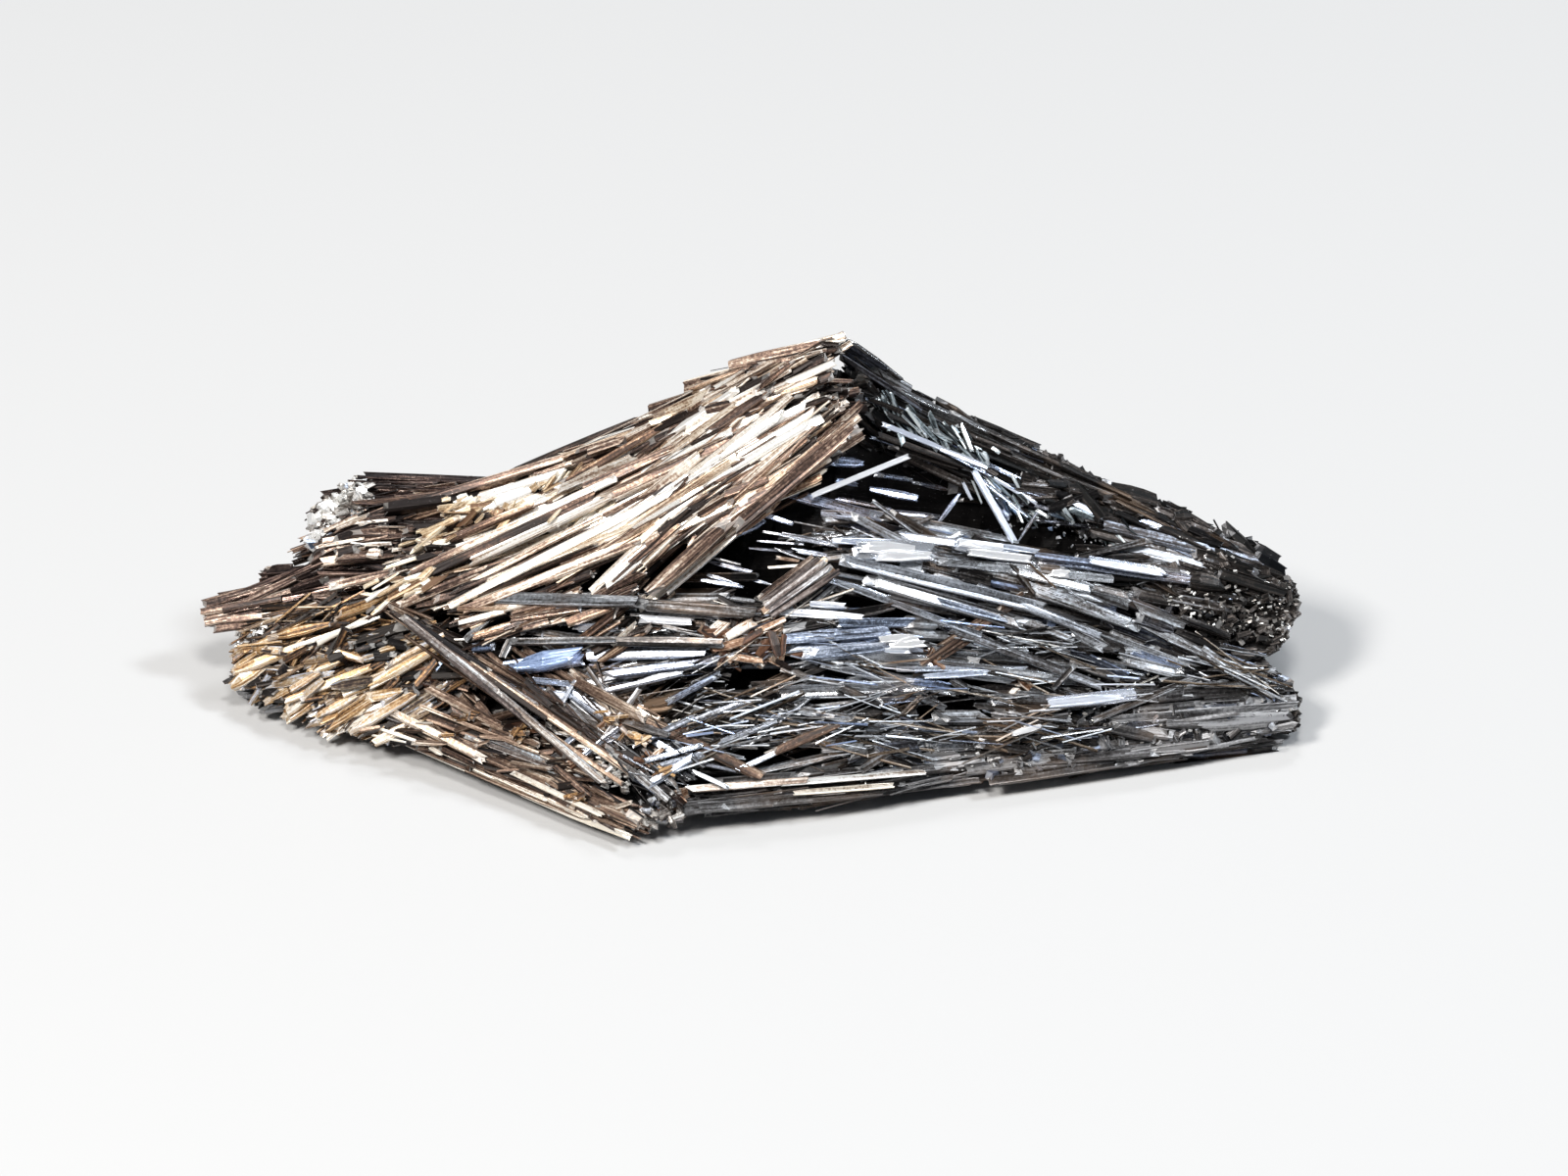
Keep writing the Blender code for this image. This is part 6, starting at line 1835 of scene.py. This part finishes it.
paper_shader.inputs["Roughness"].default_value = PAPER_ROUGHNESS
table_mesh.materials.append(paper)


def lamp(name, place, size, power, colour):
    """A square soft lamp that shines at the cluster."""
    data = bpy.data.lights.new(name, "AREA")
    data.size = size
    data.energy = power
    data.color = colour
    made = bpy.data.objects.new(name, data)
    made.location = place
    made.rotation_euler = (-Vector(place)).to_track_quat("-Z", "Y").to_euler()
    bpy.context.scene.collection.objects.link(made)


# Each lamp's place and size in metres, its power in watts and its colour.
lamp("key", (-0.30, -0.24, 0.44), 0.13, 3.0, (1.0, 0.97, 0.93))
lamp("front", (0.03, -0.19, 0.50), 0.10, 1.2, (1.0, 0.99, 0.97))
lamp("side", (0.34, -0.02, 0.40), 0.09, 1.2, (0.88, 0.94, 1.0))
lamp("rim", (0.02, 0.30, 0.42), 0.12, 0.5, (0.95, 0.97, 1.0))

ROOM_COLOUR, ROOM_STRENGTH = (0.60, 0.66, 0.75, 1.0), 0.15
world = bpy.data.worlds.new("studio")
world.use_nodes = True
room = world.node_tree.nodes["Background"]
room.inputs["Color"].default_value = ROOM_COLOUR
room.inputs["Strength"].default_value = ROOM_STRENGTH
bpy.context.scene.world = world
bpy.context.scene.view_settings.view_transform = "Standard"

LOOKED_AT = (np.array((1.86, 0.0, 7.52)) - CENTRE) * MM  # the middle of the view
CAMERA_LENS = 180.0
SENSOR = 36.0
VIEW_PIXELS = 1600.0
PIXELS_PER_MM = 18.83
NEAREST = 0.01  # the camera sees nothing closer than this
distance = CAMERA_LENS / SENSOR * VIEW_PIXELS / PIXELS_PER_MM * MM
camera_data = bpy.data.cameras.new("camera")
camera_data.lens = CAMERA_LENS
camera_data.sensor_width = SENSOR
camera_data.clip_start = NEAREST
camera = bpy.data.objects.new("camera", camera_data)
back = Vector((0.0, -math.cos(VIEW_TILT), math.sin(VIEW_TILT)))
camera.location = Vector(LOOKED_AT) + back * distance
camera.rotation_euler = (-back).to_track_quat("-Z", "Y").to_euler()
bpy.context.scene.collection.objects.link(camera)
bpy.context.scene.camera = camera
